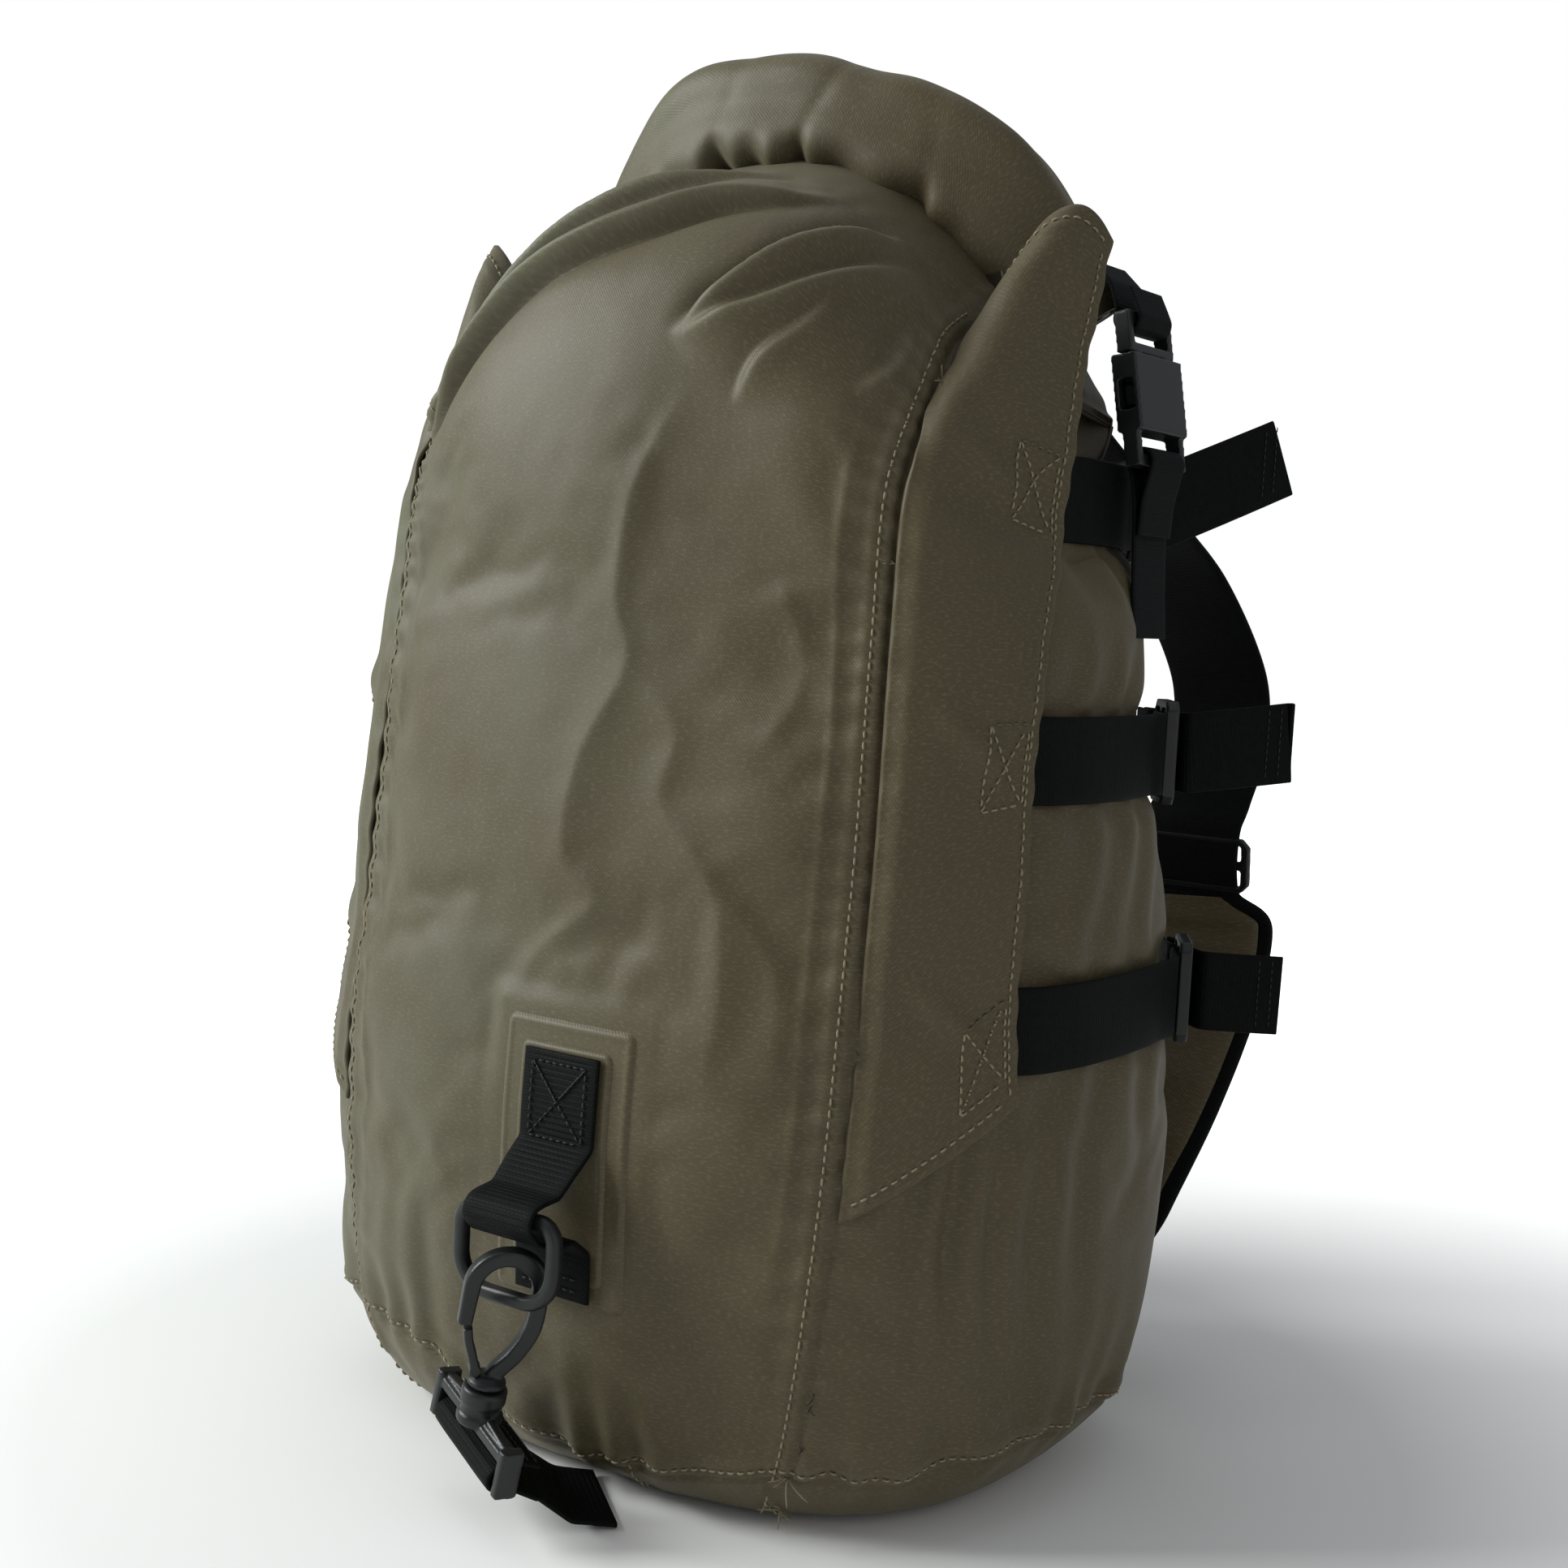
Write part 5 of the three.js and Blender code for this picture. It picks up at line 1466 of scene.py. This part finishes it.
def add_sling():
    """The wide web that wraps the swivel's rod and runs back under the sack."""
    m = hook_matrix(-BASE_TURN)
    local = lambda out, up: np.array(m @ Vector((0, -out, up - BASE_DROP - 0.6)))
    wrap = [(-12, 2.5), (-6, 4.4), (-1, 3.9), (2.6, 2.8), (3.9, 0), (2.6, -2.8), (-1, -3.9), (-6, -4.2)]
    route = [local(*q) for q in wrap] + [(10, -112, 12), (17, -103, 3.6), (25, -93, 1.4)]
    path = blur(resample(route, 0.5), 8)
    across = np.array(m.to_3x3() @ Vector((1, 0, 0)))
    flat = np.array([0.76, -0.65, 0])
    wish = np.array([across * (1 - k) + flat * k for k in smooth(0.45, 0.9, np.linspace(0, 1, 30))])
    obj = webbing("sling", path, 38, 1.5, wish, rib=1.75, rise=0.28, step=0.35)
    finish_piece(obj, WEBBING, "webbing", None, "sling_web")
    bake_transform(obj)
    runs = []
    part = np.linspace(0, 1.9, 5)[:, None]
    bow = np.sin(np.linspace(0, math.pi, 5))[:, None] * [0, 0, 0.2]
    for out, up in ((-7.5, 5.4), (-10.5, 4.4)):
        for k in np.arange(-17, 17, 2.6):
            runs.append(local(out, up) + across * (k + part) + bow)
    finish_piece(thread_mesh("sling_stitches", runs, 0.22, 5), BLACK, "webbing", "hook_base")


# ---------------------------------------------------------------- shoulder straps


def add_harness():
    """Both shoulder straps: a web from the back's top to its slider, and a pad below."""
    web = [(58, 67, 342), (59, 72, 334), (62, 88, 322), (70, 112, 304), (78, 144, 281), (85, 169, 248),
           (86, 172, 222), (85, 163, 202), (84, 158, 192), (84, 157, 179), (84, 160, 168)]
    pad = [(84, 161, 166), (85, 160, 150), (86, 148, 128), (85, 125, 98), (82, 107, 68), (79, 101.5, 44)]
    for side, sign in SIDES:
        turn = np.array([sign, 1, 1])
        path = spline(np.array(web, float) * turn, 200)
        obj = webbing(f"shoulder_strap_{side}", path, 38, 1.9, (1, 0, 0), rib=1.5, rise=0.14, step=0.5)
        finish_piece(obj, WEBBING, "webbing", "sack", f"shoulder_web_{side}")
        add_pad(side, spline(np.array(pad, float) * turn, 90), sign)


def add_pad(side, path, sign):
    """A quilted pad, tapered at both ends, with a bound edge."""
    count = len(path)
    t = np.linspace(0, 1, count)
    wish = np.stack([np.ones(count), -0.45 * sign * smooth(0.5, 1, t), np.zeros(count)], -1)
    wide = 60 * (1 - 0.42 * smooth(0.12, 0.0, t) - 0.25 * smooth(0.8, 1, t))
    thick = 9 * (1 - 0.45 * smooth(0.1, 0, t) - 0.5 * smooth(0.88, 1, t))
    section = rounded(1, 1, 2.8, 56)[None] * np.stack([wide - 5, thick], -1)[:, None]
    quilt = 1 - 0.10 * np.abs(np.sin(np.linspace(0, 9 * math.pi, count)))[:, None]
    section[..., 1] *= quilt
    obj = sweep(f"pad_{side}", path, section, wish)
    fix_normals(obj)
    obj.data.attributes.new("painted_ridge_light", "FLOAT", "POINT")
    finish_piece(obj, FABRIC, "fabric", "sack", f"shoulder_pad_{side}")
    along, across, out = frames_along(path, wish)
    beside = across * (wide / 2 - 1.6)[:, None]
    rim = np.vstack([path + beside, (path - beside)[::-1]])
    rim = blur(resample(np.vstack([rim, rim[:1]]), 0.8), 10)
    binding = sweep(f"pad_binding_{side}", rim[:-1], rounded(3.4, 7.6, 2.6, 18), (0.2, 0.9, 0.1), closed=True)
    fix_normals(binding)
    finish_piece(binding, WEBBING, "webbing", "sack")


# ---------------------------------------------------------------- stage


def area(name, at, aim, size, power, color):
    """A square light aimed at a point."""
    light = bpy.data.lights.new(name, "AREA")
    light.size = size
    light.energy = power
    light.color = color
    obj = bpy.data.objects.new(name, light)
    obj.location = at
    obj.rotation_euler = (Vector(aim) - Vector(at)).to_track_quat("-Z", "Y").to_euler()
    link(obj)


def add_stage():
    """A pale floor that fades to white, a white backdrop and three soft lights."""
    bpy.ops.mesh.primitive_plane_add(size=12, location=(0, 0, 0))
    floor = bpy.context.object
    floor.name = "floor"
    m = Nodes("pale_floor")
    place = m.add("TexCoord").outputs["Object"]
    m.link(m.mix(m.noise(place, 3.0, 2.0), (0.86, 0.86, 0.85, 1), (0.9, 0.9, 0.9, 1)), "Base Color")
    m.shader.inputs["Roughness"].default_value = 0.8
    away = m.add("VectorMath", {0: place}, operation="LENGTH").outputs["Value"]
    seen = m.add("LightPath").outputs["Is Camera Ray"]
    m.link(m.math("MULTIPLY", m.ramp(away, 0.22, 0.75), seen), "Emission Strength")
    m.shader.inputs["Emission Color"].default_value = (1, 1, 1, 1)
    floor.data.materials.append(m.material)
    world = bpy.data.worlds.new("studio")
    world.use_nodes = True
    tree = world.node_tree
    fill, backdrop = tree.nodes["Background"], tree.nodes.new("ShaderNodeBackground")
    fill.inputs[0].default_value = (0.90, 0.95, 1.0, 1)
    fill.inputs[1].default_value = 0.34
    backdrop.inputs[0].default_value = (1, 1, 1, 1)
    ray, mix = tree.nodes.new("ShaderNodeLightPath"), tree.nodes.new("ShaderNodeMixShader")
    tree.links.new(ray.outputs["Is Camera Ray"], mix.inputs[0])
    tree.links.new(fill.outputs[0], mix.inputs[1])
    tree.links.new(backdrop.outputs[0], mix.inputs[2])
    tree.links.new(mix.outputs[0], tree.nodes["World Output"].inputs[0])
    bpy.context.scene.world = world
    bpy.context.scene.view_settings.view_transform = "Standard"

    area("window", (-1.5, -1.1, 1.15), (0, 0, 0.24), 1.0, 52, (0.97, 1.0, 0.97))
    area("overhead", (-0.2, 0.1, 2.0), (0, 0, 0.2), 1.4, 4, (1.0, 1.0, 1.0))
    area("bounce", (1.6, -0.6, 0.7), (0, 0, 0.2), 1.5, 4.0, (1.0, 0.92, 0.8))


# ---------------------------------------------------------------- everything

add_seam_stitches(shell)
add_loose_threads(shell)
add_roll()
add_wings()
add_straps()
add_moulded_parts()
add_buckle_webs()
add_patch(shell)
add_loop(shell)
add_ring()
add_hook()
add_base()
add_sling()
add_harness()
add_stage()


def skin_stiffener():
    """The collar's stiffener shows only at the roll's open ends."""
    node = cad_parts["collar_stiffener"]
    node.data.materials.clear()
    node.data.materials.append(PLASTIC)


skin_stiffener()
